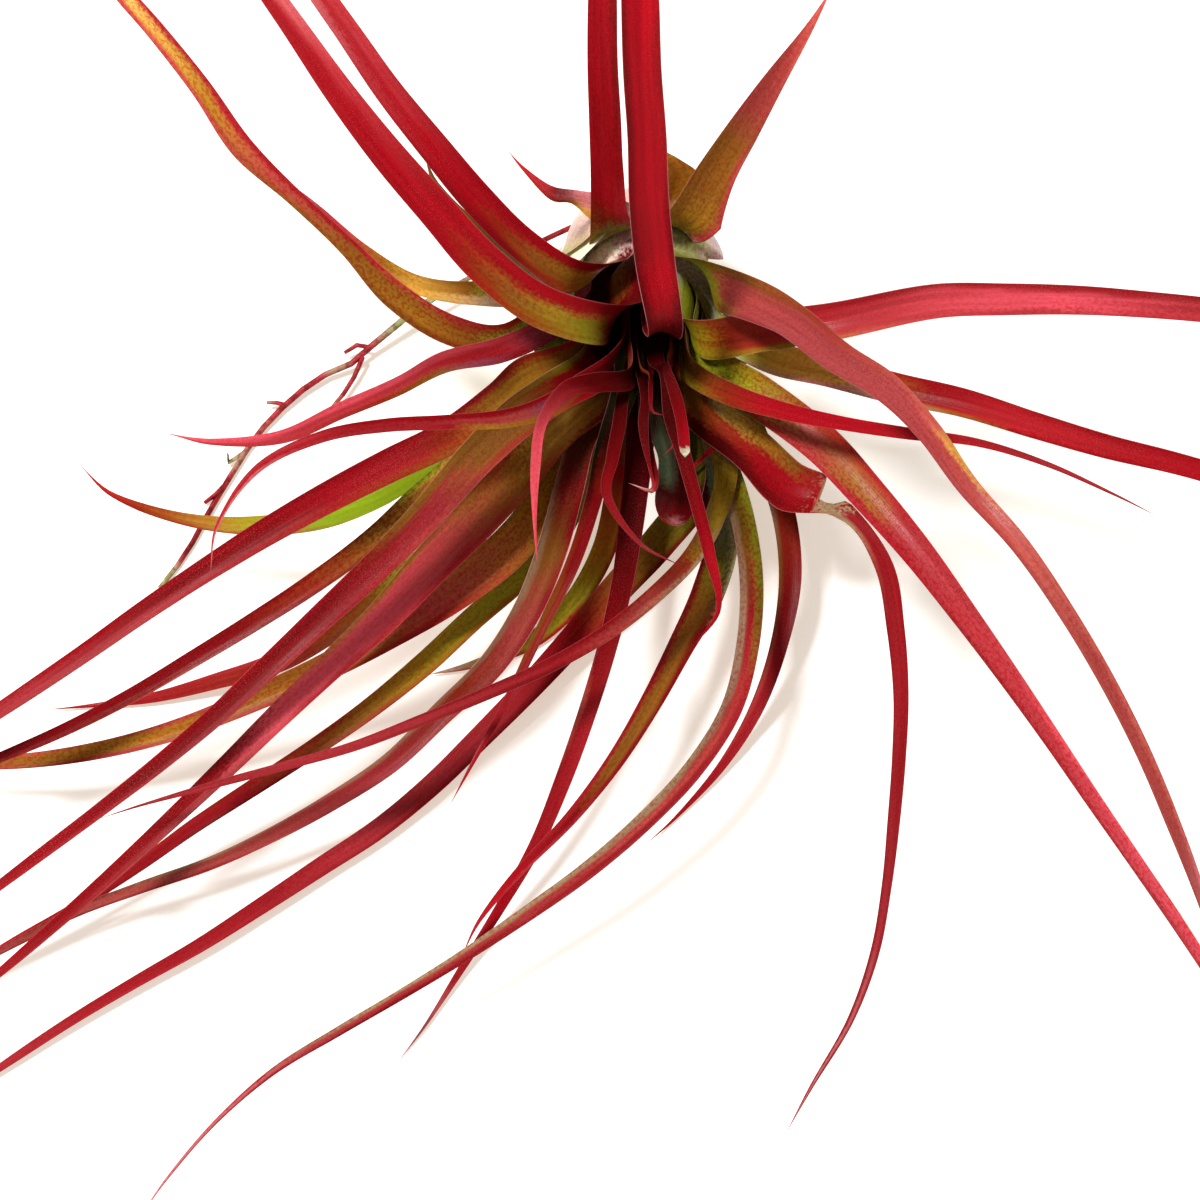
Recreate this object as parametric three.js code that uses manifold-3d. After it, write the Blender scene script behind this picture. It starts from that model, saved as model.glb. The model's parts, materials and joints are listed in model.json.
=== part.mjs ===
// An air plant of the brachycaulos kind, picked and laid on a flat surface: a rosette of long channelled
// leaves whose sheaths wrap each other in a bulb round a short stem, with one wiry root.
// Millimetres, +Z up, +Y away from the viewer. The origin is the small flat spot under the bulb.
import * as THREE from "three";
import { mergeVertices } from "three/addons/utils/BufferGeometryUtils.js";
import Module from "manifold-3d";

const wasm = await Module();
wasm.setup();

// The plant's axis runs from the stem to the heart, the mouth of the rosette, and rises towards the viewer
const HEART = new THREE.Vector3(3.9, -16.8, 30.4);
const AXIS_RISE = THREE.MathUtils.degToRad(22);

// Each leaf's way is read by a viewer high above its near side. The line of sight has this rise, and meets the
// plane through the heart at this distance and at VIEW_CENTRE, as [right, up] from the heart in that plane.
const VIEW_RISE = THREE.MathUtils.degToRad(66);
const VIEW_DISTANCE = 450;
const VIEW_CENTRE = [-11, -51];

// Sheaths: nested shells round the stem
const STEM_RADIUS = 3.0;
const STEM_FROM = -48;
const STEM_TO = -12;
const STEM_SIDES = 16;
const STEM_CLEARANCE = 0.8;
const SHEATH_INNERMOST = 3.4;
const SHEATH_STEP = 1.0;
const SHEATH_SPREAD_PER_LEAF = 0.36;
const SHEATH_SIDE_GAP = 0.4;
const SHEATH_HALF_ANGLE = 0.6;
const SHEATH_THICKNESS = 0.6;
const SHEATH_PER_BLADE_WIDTH = 1.1;
const BULB_WIDEST_AT = -13;
const BULB_LEAST_LENGTH = 2;
const BULB_LENGTH_PER_RADIUS = 1.5;

// A sheath's mouth lies further back along the axis the further out the sheath is, and closes in a little
const MOUTH_OF_INNERMOST = 4;
const MOUTH_BACK_PER_RADIUS = 17 / 22;
const MOUTH_LEAST_LENGTH = 3;
const MOUTH_SHRINK = 0.93;
const MOUTH_PER_BLADE_WIDTH = 1.4;

// Where a sheath's cross-sections are, as shares of the turn from its widest place back to the stem. The
// outermost one is pressed flat between two of its own: that is the spot the plant rests on.
const SHEATH_PARTS = [1, 0.72, 0.42, 0];
const PRESSED_PARTS = [1, 0.72, 0.42, 0.2, 0];
const FLAT_PARTS = [0.42, 0.2];

// Blades: thick along the middle, thin at the margins, and curled into a channel
const BLADE_THICKNESS = 1.0;
const MARGIN_THINNING = 0.9;
const EDGE_THICKNESS = 0.3;
const THICKNESS_PER_WIDTH = 0.25;
const LEAST_WIDTH = 0.5;
const BLADE_HALF_ANGLE = 0.55;
const STATION_SPACING = 13.5;
const NECK_LENGTH = 26;
const NECK_WIDENS_AHEAD = 1.5;
const FREE_AFTER_STATIONS = 3;

// A leaf runs out to its tip over this length, or over this share of a short one; a cut end is nearly square
const TIP_LENGTH = 9;
const TIP_SHARE = 0.12;
const CUT_END_LENGTH = 1.2;

// Room that leaves keep from each other and from the surface
const LEAF_GAP = 0.5;
const SURFACE_GAP = 0.3;
const SAMPLE_SPACING = 3;
const CELL = 4;
const REACH = 3.5;
const REACH_ASIDE = 1.9;
const LEAST_SHARE = 0.2;
const PUSH_SHARE = 0.6;
const EASE_SHARE = 0.2;
const MOST_DRIFT = 9;
const ROUNDS = 110;

// One entry for each leaf. order: inner leaves, which lie over the others, have the higher number. side: where
// its sheath stands round the axis, in degrees clockwise from the top. way: where the blade runs, as
// [right, up] from the heart. heights above the surface and widths are spread evenly along the way. ring: how
// far in its sheath lies, where that isn't its order. sheath: half its sheath's width, where that isn't as usual.
const LEAVES = [
  {
    name: "leaf_low_short",
    order: 1,
    pressed: true,
    side: 191,
    way: [[-11, -43], [-16, -51], [-20, -56], [-27, -60.5], [-35, -63.5], [-41, -65], [-45.5, -66]],
    heights: [4, 1, 1, 1],
    widths: [5, 4.4, 3.5, 2, 0],
  },
  {
    name: "leaf_lowest_long",
    order: 2,
    side: 165,
    way: [
      [9, -27], [5, -34], [-1, -41.5], [-7, -48], [-20, -63], [-35, -78.5], [-51, -93.5], [-71, -107],
      [-91, -120], [-111, -131.5], [-131, -144.5], [-150, -157.5],
    ],
    heights: [10, 7, 4, 3, 3, 3, 2, 1],
    widths: [8, 7, 6, 5, 4.5, 4, 3.2, 2.4, 1.8, 0],
  },
  {
    name: "leaf_left_ground_tip",
    order: 3,
    side: 228,
    way: [
      [-19, -17], [-31, -27], [-39, -35.5], [-51, -46.5], [-61, -54.5], [-71, -61.5], [-87, -67],
      [-103, -71], [-117, -72.5], [-122.5, -73],
    ],
    heights: [14, 15, 12, 6, 2, 1],
    widths: [4, 4.5, 4, 3.5, 3, 2, 1, 0],
  },
  {
    name: "leaf_left_green",
    order: 4,
    side: 250,
    way: [
      [-27, -13], [-35, -19], [-43, -23], [-51, -28], [-59, -32], [-67, -34.5], [-75, -36],
      [-91, -35.5], [-99, -33.5], [-107, -31], [-115.5, -23.5],
    ],
    heights: [16, 21, 23, 22, 22, 27],
    widths: [5, 4.5, 3.5, 3, 2.5, 1.5, 1, 0],
  },
  {
    name: "leaf_right_low_tip",
    order: 5,
    side: 132,
    way: [
      [25, -31], [26.5, -39], [27, -45], [26.5, -52], [24.5, -61], [22, -69], [14.5, -82.5],
      [7.5, -91], [1, -97.5], [-2, -100],
    ],
    heights: [14, 13, 9, 4, 1, 1],
    widths: [5, 5, 4.5, 3.5, 3, 2, 1, 0],
  },
  {
    name: "leaf_low_olive",
    order: 6,
    side: 205,
    way: [
      [-16, -31], [-21, -40], [-28, -47.5], [-35, -53.5], [-51, -68], [-71, -82.5], [-91, -95],
      [-111, -108], [-131, -120.5], [-150, -133.5],
    ],
    heights: [14, 17, 17, 14, 11, 9, 7],
    widths: [5.5, 5, 5, 4, 3.5, 2.5, 1.8, 0],
  },
  {
    name: "leaf_left_low_mottled",
    order: 7,
    side: 220,
    way: [
      [-17, -21], [-27, -37], [-39, -48], [-51, -56], [-63, -63], [-77, -69.5], [-93, -76],
      [-111, -81], [-131, -83.5], [-156, -83],
    ],
    heights: [20, 25, 25, 21, 17, 14, 12],
    widths: [7.5, 9, 8, 6, 4.8, 3.8, 2.8, 0],
  },
  {
    name: "leaf_low_dark_long",
    order: 8,
    side: 199,
    way: [
      [-14, -19], [-16.5, -29], [-23, -49], [-33, -64.5], [-41, -72], [-51, -82], [-61, -89],
      [-71, -95], [-91, -105], [-111, -112.5], [-131, -121.5], [-150, -130.5],
    ],
    heights: [20, 23, 22, 17, 11, 8, 6, 5],
    widths: [6, 6.5, 6, 5, 4, 3, 2.5, 1.7, 0],
  },
  {
    name: "leaf_centre_broad",
    order: 8.5,
    ring: 20.5,
    side: 182,
    way: [
      [-3, -15], [-5, -35], [-6.5, -47], [-10, -62], [-16, -80.5], [-23.5, -99.5], [-33, -117],
      [-42, -131.5], [-51.5, -144.5],
    ],
    heights: [20, 22, 21, 16, 8, 3, 1],
    widths: [6, 5.5, 4.5, 4, 3.5, 2.5, 1.5, 0],
  },
  {
    name: "leaf_front_crossing_tip",
    order: 9,
    side: 155,
    way: [
      [13.5, -37], [11.5, -47], [7.5, -56], [3, -64], [-4.5, -78], [-14, -91], [-22, -100],
      [-31, -108], [-37, -115.5], [-40, -122],
    ],
    heights: [12, 15, 18, 18, 17, 13, 1],
    widths: [7, 7, 5.5, 4.5, 3.5, 2.5, 1.5, 0],
  },
  {
    name: "leaf_front_gold_back",
    order: 10,
    side: 145,
    way: [
      [10, -17], [14.5, -25], [17, -33], [19, -43], [18.5, -60], [13.5, -76.5], [2, -91], [-11, -103],
      [-27.5, -115], [-43.5, -125.5], [-59.5, -135], [-76, -145], [-87.5, -155], [-100.5, -170.5],
      [-104, -176],
    ],
    heights: [16, 21, 23, 21, 18, 16, 16, 21, 27],
    widths: [5, 5, 5, 4.5, 4, 3.5, 2.5, 2, 1, 0],
  },
  {
    name: "leaf_back_left_pale",
    order: 12,
    side: 310,
    way: [[-19, 12], [-25, 15], [-30, 18.5], [-35, 22], [-40, 26.5], [-43.5, 31.5], [-46, 37.5]],
    heights: [40, 49, 56, 61],
    widths: [4.5, 4.5, 4, 2.5, 0],
  },
  {
    name: "leaf_back_left_dry",
    order: 13,
    ring: 7.5,
    side: 307,
    way: [
      [-27, 11], [-35, 10.5], [-43, 11.5], [-51, 14.5], [-57, 18.5], [-63, 23.5], [-69, 29],
      [-73.5, 33],
    ],
    heights: [30, 36, 42, 46, 48],
    widths: [5, 5, 3.5, 2.5, 0],
  },
  {
    name: "leaf_left_olive_folded",
    order: 14,
    ring: 9.5,
    side: 281,
    way: [
      [-27, 2], [-35, 2], [-43, 3], [-49, 6.5], [-55, 11.5], [-64, 21.5], [-69, 26.5], [-81, 37.5],
      [-89, 49], [-100, 63], [-105.5, 69], [-113, 80], [-118, 92],
    ],
    heights: [26, 36, 48, 60, 69, 75, 79],
    widths: [6, 6.5, 5.5, 3, 5, 4.5, 4, 3.2, 0],
  },
  {
    name: "leaf_right_olive_base",
    order: 15,
    side: 92,
    way: [
      [21, -1.5], [29, -3.5], [39, -6.5], [49, -9], [61, -11.5], [85, -19], [97, -22], [109, -25],
      [124, -29.5], [140, -34],
    ],
    heights: [28, 37, 42, 43, 41, 37, 33],
    widths: [6.5, 7, 6.5, 5.8, 5.2, 4.6, 3.8, 0],
  },
  {
    name: "leaf_left_dark_long",
    order: 17,
    side: 243,
    way: [
      [-19, -7], [-33.5, -19], [-43, -26.5], [-51, -34], [-59, -41], [-71, -49.5], [-91, -62],
      [-111, -73.5], [-131, -82.5], [-154, -91],
    ],
    heights: [26, 33, 36, 33, 29, 25, 22],
    widths: [5, 5.5, 5, 4.5, 3.8, 3, 2.2, 0],
  },
  {
    name: "leaf_left_olive_long",
    order: 18,
    ring: 21.5,
    side: 222,
    way: [
      [-11, -9], [-19, -16], [-27, -25], [-35, -34], [-43, -42], [-51, -51], [-71, -70], [-91, -89.5],
      [-111, -108], [-131, -125.5], [-150, -141],
    ],
    heights: [23, 32, 33, 28, 23, 19, 16],
    widths: [9, 9.8, 9, 6.3, 4.8, 3.4, 2.2, 0],
  },
  {
    name: "leaf_front_left_pointed",
    order: 19,
    ring: 25.5,
    side: 206,
    way: [
      [-6, -9], [-8.5, -17], [-14, -37], [-17, -45], [-20.5, -52], [-27.5, -67], [-34.5, -80.5],
      [-38, -86], [-41, -92],
    ],
    heights: [25, 33, 33, 29, 25, 23],
    widths: [5, 4.5, 3.5, 3, 2, 1.5, 0],
  },
  {
    name: "leaf_left_purple",
    order: 21,
    side: 286,
    way: [
      [-19, 4.5], [-25, 2.5], [-31, 0], [-43, -3], [-51, -8], [-59, -11.5], [-67, -15], [-75, -18.5],
      [-87, -19.5], [-98.5, -17.5],
    ],
    heights: [36, 45, 52, 57, 60],
    widths: [5, 5.5, 4.5, 3.5, 2.5, 1.5, 0],
  },
  {
    name: "leaf_left_top_long",
    order: 22,
    side: 264,
    way: [
      [-11, -1], [-19, -4], [-31, -11], [-43, -18.5], [-51, -22.5], [-61, -28], [-81, -39.5],
      [-101, -52.5], [-121, -66.5], [-131, -73], [-147, -84], [-158, -92],
    ],
    heights: [30, 45, 49, 46, 41, 36, 31],
    widths: [8.5, 8, 7.5, 6.5, 5, 4, 3, 0],
  },
  {
    name: "leaf_centre_stub",
    order: 26.5,
    ring: 26.5,
    side: 171,
    way: [[2.5, -15], [3.5, -25], [3.5, -34.5]],
    heights: [27, 31, 33],
    widths: [7, 7.5, 7, 4.5],
  },
  {
    name: "leaf_left_bright_long",
    order: 24,
    side: 246,
    way: [
      [-11, -3], [-19, -10], [-27, -17], [-35, -24], [-43, -32], [-51, -40], [-71, -58.5], [-91, -77],
      [-111, -93], [-131, -108], [-154, -126],
    ],
    heights: [28, 43, 45, 40, 33, 27, 21],
    widths: [9, 9, 7.5, 6, 4.5, 3.2, 2.2, 0],
  },
  {
    name: "leaf_back_small_pink",
    order: 25,
    ring: 5.5,
    sheath: 8,
    side: 345,
    way: [[-3, 24], [-13, 27], [-19, 29], [-23, 32], [-27, 36], [-29.5, 39]],
    heights: [45, 53, 60, 63],
    widths: [4, 3, 2.5, 1.5, 0],
  },
  {
    name: "leaf_crossing_thin",
    order: 26,
    side: 142,
    way: [
      [16, -30], [12, -34], [9, -40], [6.5, -43.5], [1.5, -48.5], [-5.5, -54.5], [-13.5, -60],
      [-24, -65.5], [-43, -73.5], [-61, -80.5], [-81, -86], [-101, -91.5], [-112, -95],
    ],
    heights: [23, 31, 36, 37, 35, 33, 32, 33],
    widths: [5, 4, 3.5, 3, 2.5, 2, 1.5, 0],
  },
  {
    name: "leaf_inner_curl_right",
    order: 27,
    side: 140,
    way: [[7, -27], [8, -33.5], [10.5, -31.5], [13, -29], [15.5, -27], [19, -27]],
    heights: [18, 22, 25, 26],
    widths: [2, 2, 1.5, 0],
  },
  {
    name: "leaf_right_broken",
    order: 27.5,
    ring: 27.2,
    side: 131,
    way: [
      [7, -11], [13, -17], [21, -24], [29, -29.5], [33.5, -32.5], [36, -32.5], [38.5, -33.5],
      [42, -36.5], [45, -42], [47.5, -53], [49, -67], [49, -77], [47.5, -97], [44.5, -119], [40, -133],
      [32, -147], [26, -158],
    ],
    heights: [26, 32, 36, 39, 45, 53, 60, 64],
    widths: [9.5, 9.5, 9.5, 9.8, 3.6, 4, 4, 3.6, 3.2, 3, 2.8, 2.4, 2, 2, 1.5, 1, 0],
  },
  {
    name: "leaf_right_down_long",
    order: 28,
    side: 109,
    way: [
      [9, -4], [17, -6], [26, -11.5], [34.8, -21], [43.4, -31], [52, -41], [59.6, -51], [74, -71],
      [87.6, -91], [109, -122.5], [125, -149],
    ],
    heights: [29, 38, 40, 36, 29, 19, 9, 1],
    widths: [9, 9, 7.6, 5.6, 4, 3.2, 2.6, 0],
  },
  {
    name: "leaf_back_right_small",
    order: 11,
    ring: 4.5,
    sheath: 8,
    side: 9,
    way: [[3, 28], [4, 31], [5, 33.5], [3.5, 36.5], [2.5, 38.5]],
    heights: [47, 54, 59],
    widths: [3, 3, 2.5, 0],
  },
  {
    name: "leaf_top_right",
    order: 30,
    ring: 11.5,
    side: 19,
    way: [[6, 20.5], [9, 28], [13.5, 36], [19, 45], [25, 54.5], [30, 62], [34, 69], [35.5, 71.5]],
    heights: [47, 61, 75, 89, 99],
    widths: [9, 9, 7.5, 5.5, 3, 0],
  },
  {
    name: "leaf_right_level",
    order: 31,
    side: 60,
    way: [
      [7, 2.5], [15, 4], [25, 5.5], [35, 7], [45, 8], [57, 9], [69, 9], [81, 9], [109, 7], [126, 4.5],
      [146, 0],
    ],
    heights: [34, 43, 50, 53, 52, 48, 43],
    widths: [9, 8.5, 7.5, 6.5, 5.5, 4.5, 0],
  },
  {
    name: "leaf_upper_left_back",
    order: 32,
    ring: 16.5,
    side: 324,
    way: [
      [-12.5, 13], [-19, 15], [-27, 20.5], [-35.5, 29], [-45.5, 41], [-52, 49], [-59, 59], [-66, 69],
      [-76, 83], [-84, 95],
    ],
    heights: [43, 55, 68, 79, 89, 97, 102],
    widths: [7, 7, 7, 6.2, 5.4, 4.2, 0],
  },
  {
    name: "leaf_top_left",
    order: 33,
    ring: 12.5,
    side: 338,
    way: [[-8, 19], [-9, 25], [-9.5, 33], [-10, 45], [-10.5, 57], [-10.5, 69], [-10, 91], [-9, 108]],
    heights: [45, 61, 79, 96, 111, 124, 134],
    widths: [6.5, 7, 6.8, 6.4, 6, 4.6, 0],
  },
  {
    name: "leaf_upper_left_front",
    order: 34,
    ring: 22.5,
    side: 318,
    way: [
      [-11, 4.5], [-19, 6], [-27, 10], [-35, 17], [-43, 26], [-51, 35], [-62, 49], [-69, 59],
      [-76, 69], [-88, 86], [-96, 98],
    ],
    heights: [45, 56, 69, 82, 93, 101, 107],
    widths: [9, 9, 8, 7, 5.5, 4, 0],
  },
  {
    name: "leaf_right_thin_near",
    order: 35,
    side: 96,
    way: [
      [2.5, -1.5], [7, -5], [13, -9], [21, -12], [29, -14], [45, -17], [61, -19], [69, -20.5],
      [80, -24.5], [90, -29], [101, -34.5],
    ],
    heights: [31, 42, 52, 60, 67, 72, 76],
    widths: [4.5, 5, 4, 3, 2.5, 1.5, 1, 0],
  },
  {
    name: "leaf_right_over_long",
    order: 36,
    ring: 15.5,
    side: 20,
    way: [
      [7, 15.5], [13, 13], [21, 8.5], [29, 3.5], [39, -4.5], [49.5, -11], [56.5, -20], [65, -31.5],
      [72.5, -39.5], [80, -50], [94.5, -75], [105.5, -100.5], [109, -110], [116, -133],
    ],
    heights: [45, 62, 76, 81, 76, 64, 50, 36],
    widths: [8.5, 8, 6.8, 5, 3.8, 3.4, 2.8, 0],
  },
  {
    name: "leaf_left_thin_near",
    order: 37,
    side: 288,
    way: [
      [-6, 0], [-11, -4], [-17, -8], [-25, -13], [-35, -15], [-43, -15.5], [-51, -16], [-59, -16.5],
      [-67, -18.5], [-73, -20.5], [-78.5, -24], [-86, -31.5], [-88.5, -42], [-89, -46],
    ],
    heights: [36, 52, 64, 73, 80, 82, 82],
    widths: [2.5, 4, 5, 3.5, 3, 2.5, 1.5, 0],
  },
  {
    name: "leaf_top_near",
    order: 38,
    side: 6,
    way: [[2, 4], [0.5, 13], [-1, 25], [-1.5, 39], [-2.5, 53], [-3, 69], [-4, 95], [-5, 116]],
    heights: [57, 76, 94, 111, 126, 138, 148],
    widths: [7.5, 8.6, 8.4, 8.2, 8, 6, 0],
  },
  {
    name: "leaf_inner_down_right",
    order: 39,
    side: 225,
    way: [
      [-6.5, -9], [-8, -17], [-9.5, -25], [-9.5, -31], [-8, -35], [-5.5, -38], [2, -42.5], [6, -44.5],
    ],
    heights: [34, 46, 55, 58, 58],
    widths: [2.5, 3, 2.5, 1.5, 0],
  },
  {
    name: "leaf_inner_drooping",
    order: 40,
    side: 270,
    way: [
      [-3, -5], [-9, -8], [-15, -10], [-19, -11.5], [-22, -15], [-23.5, -19], [-24, -31], [-24, -39],
      [-23.5, -44],
    ],
    heights: [33, 48, 62, 70, 72],
    widths: [4, 4.5, 2.5, 2, 0],
  },
  {
    name: "leaf_inner_bright",
    order: 41,
    side: 176,
    way: [
      [1.5, -1], [3.5, -11], [5.5, -19], [7.5, -27], [10, -39], [12, -45], [13, -50], [12.5, -53.5],
      [7.5, -60.5],
    ],
    heights: [31, 40, 48, 53, 55],
    widths: [2.5, 3.5, 3, 2.5, 0],
  },
  {
    name: "leaf_inner_left",
    order: 40.9,
    side: 230,
    way: [[-3.5, -7], [-3.5, -15], [-2.5, -21], [-1, -27], [0, -30]],
    heights: [31, 38, 44],
    widths: [2, 2, 2, 0],
  },
  {
    name: "leaf_inner_hook_low",
    order: 40.5,
    side: 190,
    way: [[-1.5, -9], [-0.5, -17], [0, -24], [0, -26.5], [-2, -27], [-4.5, -26.5], [-5, -25]],
    heights: [33, 42, 49, 50],
    widths: [1.5, 1.5, 1, 0],
  },
  {
    name: "leaf_inner_hook_small",
    order: 44,
    side: 250,
    way: [[-3, -8], [-2, -11], [-1.5, -13], [0, -14], [2, -14.5]],
    heights: [33, 40, 43],
    widths: [1, 1, 1, 0],
  },
  {
    name: "leaf_inner_hook_right",
    order: 40.7,
    side: 130,
    way: [[1.5, -6], [2, -8], [3, -13], [3, -17], [2, -19], [0.5, -20]],
    heights: [33, 40, 44],
    widths: [1, 1, 1, 0],
  },
  {
    name: "leaf_inner_cut",
    order: 46,
    side: 90,
    way: [[2, -2], [3.5, -8], [5, -14], [6, -19], [6, -22.5]],
    heights: [36, 48, 57],
    widths: [2, 2.5, 2.5, 2],
  },
];

// The root leaves the stem's end and lies on the surface: [right, up, height] in the same reading. fromStem:
// how far from the stem's end, along the axis, it starts inside the stem and bends outside it.
const ROOT = {
  sides: 6,
  fromStem: [3, -4],
  bend: [-4, 1, -4],
  radii: [0.75, 0.3],
  spacing: 6,
  branchRadii: [0.35, 0.2],
  branchSpacing: 4,
  way: [
    [-45, 9, 6], [-54, 2, 4], [-57, -0.5, 3.2], [-58.5, -2.5, 3], [-67, -6.5, 2], [-74, -12, 1.5],
    [-80, -18.5, 1.1], [-82, -21.5, 1], [-86, -28, 1], [-89, -33, 1], [-94, -42, 0.8], [-99, -48.5, 0.7],
  ],
  branches: [
    [[-57, -0.5, 3.2], [-59.5, 0, 3], [-62, -1.5, 2.5]],
    [[-58.5, -2.5, 3], [-61, -8, 2], [-65, -13, 2]],
    [[-74, -12, 1.5], [-76, -11.5, 2], [-77.5, -11.5, 2.5]],
    [[-82, -21.5, 1], [-85.5, -23.5, 1.5], [-87, -22.5, 2], [-85.5, -22, 3]],
    [[-86, -28, 1], [-88.5, -30.5, 1.5], [-90, -31.5, 1]],
  ],
};

const axis = new THREE.Vector3(0, -Math.cos(AXIS_RISE), Math.sin(AXIS_RISE));
const axisUpSide = new THREE.Vector3(0, Math.sin(AXIS_RISE), Math.cos(AXIS_RISE));
const toViewer = new THREE.Vector3(0, -Math.cos(VIEW_RISE), Math.sin(VIEW_RISE));
const viewRight = new THREE.Vector3(1, 0, 0);
const viewUp = new THREE.Vector3(0, Math.sin(VIEW_RISE), Math.cos(VIEW_RISE));
const eye = HEART.clone().addScaledVector(toViewer, VIEW_DISTANCE);
eye.addScaledVector(viewRight, VIEW_CENTRE[0]).addScaledVector(viewUp, VIEW_CENTRE[1]);

// A list of values spread evenly over 0 to 1, read smoothly between them
function readEvenly(values, fraction) {
  const place = THREE.MathUtils.clamp(fraction, 0, 1) * (values.length - 1);
  const index = Math.min(Math.floor(place), values.length - 2);
  const before = values[Math.max(index - 1, 0)];
  const after = values[Math.min(index + 2, values.length - 1)];
  const from = values[index];
  const to = values[index + 1];
  const t = place - index;
  const slopeFrom = (to - before) / 2;
  const slopeTo = (after - from) / 2;
  const a = 2 * from - 2 * to + slopeFrom + slopeTo;
  const b = -3 * from + 3 * to - 2 * slopeFrom - slopeTo;
  return ((a * t + b) * t + slopeFrom) * t + from;
}

// The point at a height above the surface that the viewer sees at [right, up] in the heart's plane
function pointOnSightLine([right, up], height) {
  const seen = HEART.clone().addScaledVector(viewRight, right).addScaledVector(viewUp, up);
  const line = seen.sub(eye);
  return eye.clone().addScaledVector(line, (height - eye.z) / line.z);
}

function outwardAt(side) {
  const angle = THREE.MathUtils.degToRad(side);
  const out = axisUpSide.clone().multiplyScalar(Math.cos(angle));
  return out.addScaledVector(viewRight, Math.sin(angle));
}

function pointOnAxis(along) {
  return HEART.clone().addScaledVector(axis, along);
}

function angleBetweenSides(a, b) {
  const turn = Math.abs(a - b) % 360;
  return THREE.MathUtils.degToRad(Math.min(turn, 360 - turn));
}

// Every sheath lies outside the ones that it wraps, from the innermost leaf outwards
function wrapSheaths(leaves) {
  const placed = [];
  for (const leaf of [...leaves].sort((a, b) => b.ring - a.ring)) {
    let radius = SHEATH_INNERMOST + SHEATH_SPREAD_PER_LEAF * placed.length;
    const halfWidth = leaf.sheath ?? SHEATH_PER_BLADE_WIDTH * leaf.widths[0];
    const halfAngle = (r) => Math.min(SHEATH_HALF_ANGLE, halfWidth / r);
    for (const inner of placed) {
      const reach = halfAngle(radius) + inner.sheathHalfAngle + SHEATH_SIDE_GAP / radius;
      if (angleBetweenSides(leaf.side, inner.side) < reach) {
        radius = Math.max(radius, inner.sheathRadius + SHEATH_STEP);
      }
    }
    leaf.sheathRadius = radius;
    leaf.sheathHalfAngle = halfAngle(radius);
    placed.push(leaf);
  }
}

// One cross-section of a leaf: where its keel is, how wide it is and how far its sides curl
function station(point, across, width, halfAngle, thickness, freedom) {
  const home = point.clone();
  return { point, home, across: across.clone(), width, halfAngle, thickness, freedom };
}

function sheathStations(leaf) {
  const radius = leaf.sheathRadius;
  const outward = outwardAt(leaf.side);
  const across = axis.clone().cross(outward.clone().negate());
  const start = Math.min(STEM_RADIUS + STEM_CLEARANCE, 0.9 * radius);
  const back = BULB_LEAST_LENGTH + BULB_LENGTH_PER_RADIUS * (radius - SHEATH_INNERMOST);
  const startAngle = Math.acos(start / radius);
  const stations = (leaf.pressed ? PRESSED_PARTS : SHEATH_PARTS).map((part) => {
    const along = BULB_WIDEST_AT - back * Math.sin(part * startAngle);
    const r = radius * Math.cos(part * startAngle);
    const point = pointOnAxis(along).addScaledVector(outward, r);
    const width = 2 * r * leaf.sheathHalfAngle;
    const row = station(point, across, width, leaf.sheathHalfAngle, SHEATH_THICKNESS, 0);
    row.pressed = Boolean(leaf.pressed) && FLAT_PARTS.includes(part);
    return row;
  });
  const mouth = MOUTH_OF_INNERMOST - MOUTH_BACK_PER_RADIUS * radius;
  if (mouth > BULB_WIDEST_AT + MOUTH_LEAST_LENGTH) {
    const r = radius * MOUTH_SHRINK;
    const width = Math.min(2 * r * leaf.sheathHalfAngle, MOUTH_PER_BLADE_WIDTH * leaf.widths[0]);
    const point = pointOnAxis(mouth).addScaledVector(outward, r);
    stations.push(station(point, across, width, width / (2 * r), SHEATH_THICKNESS, 0));
  }
  return stations;
}

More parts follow.
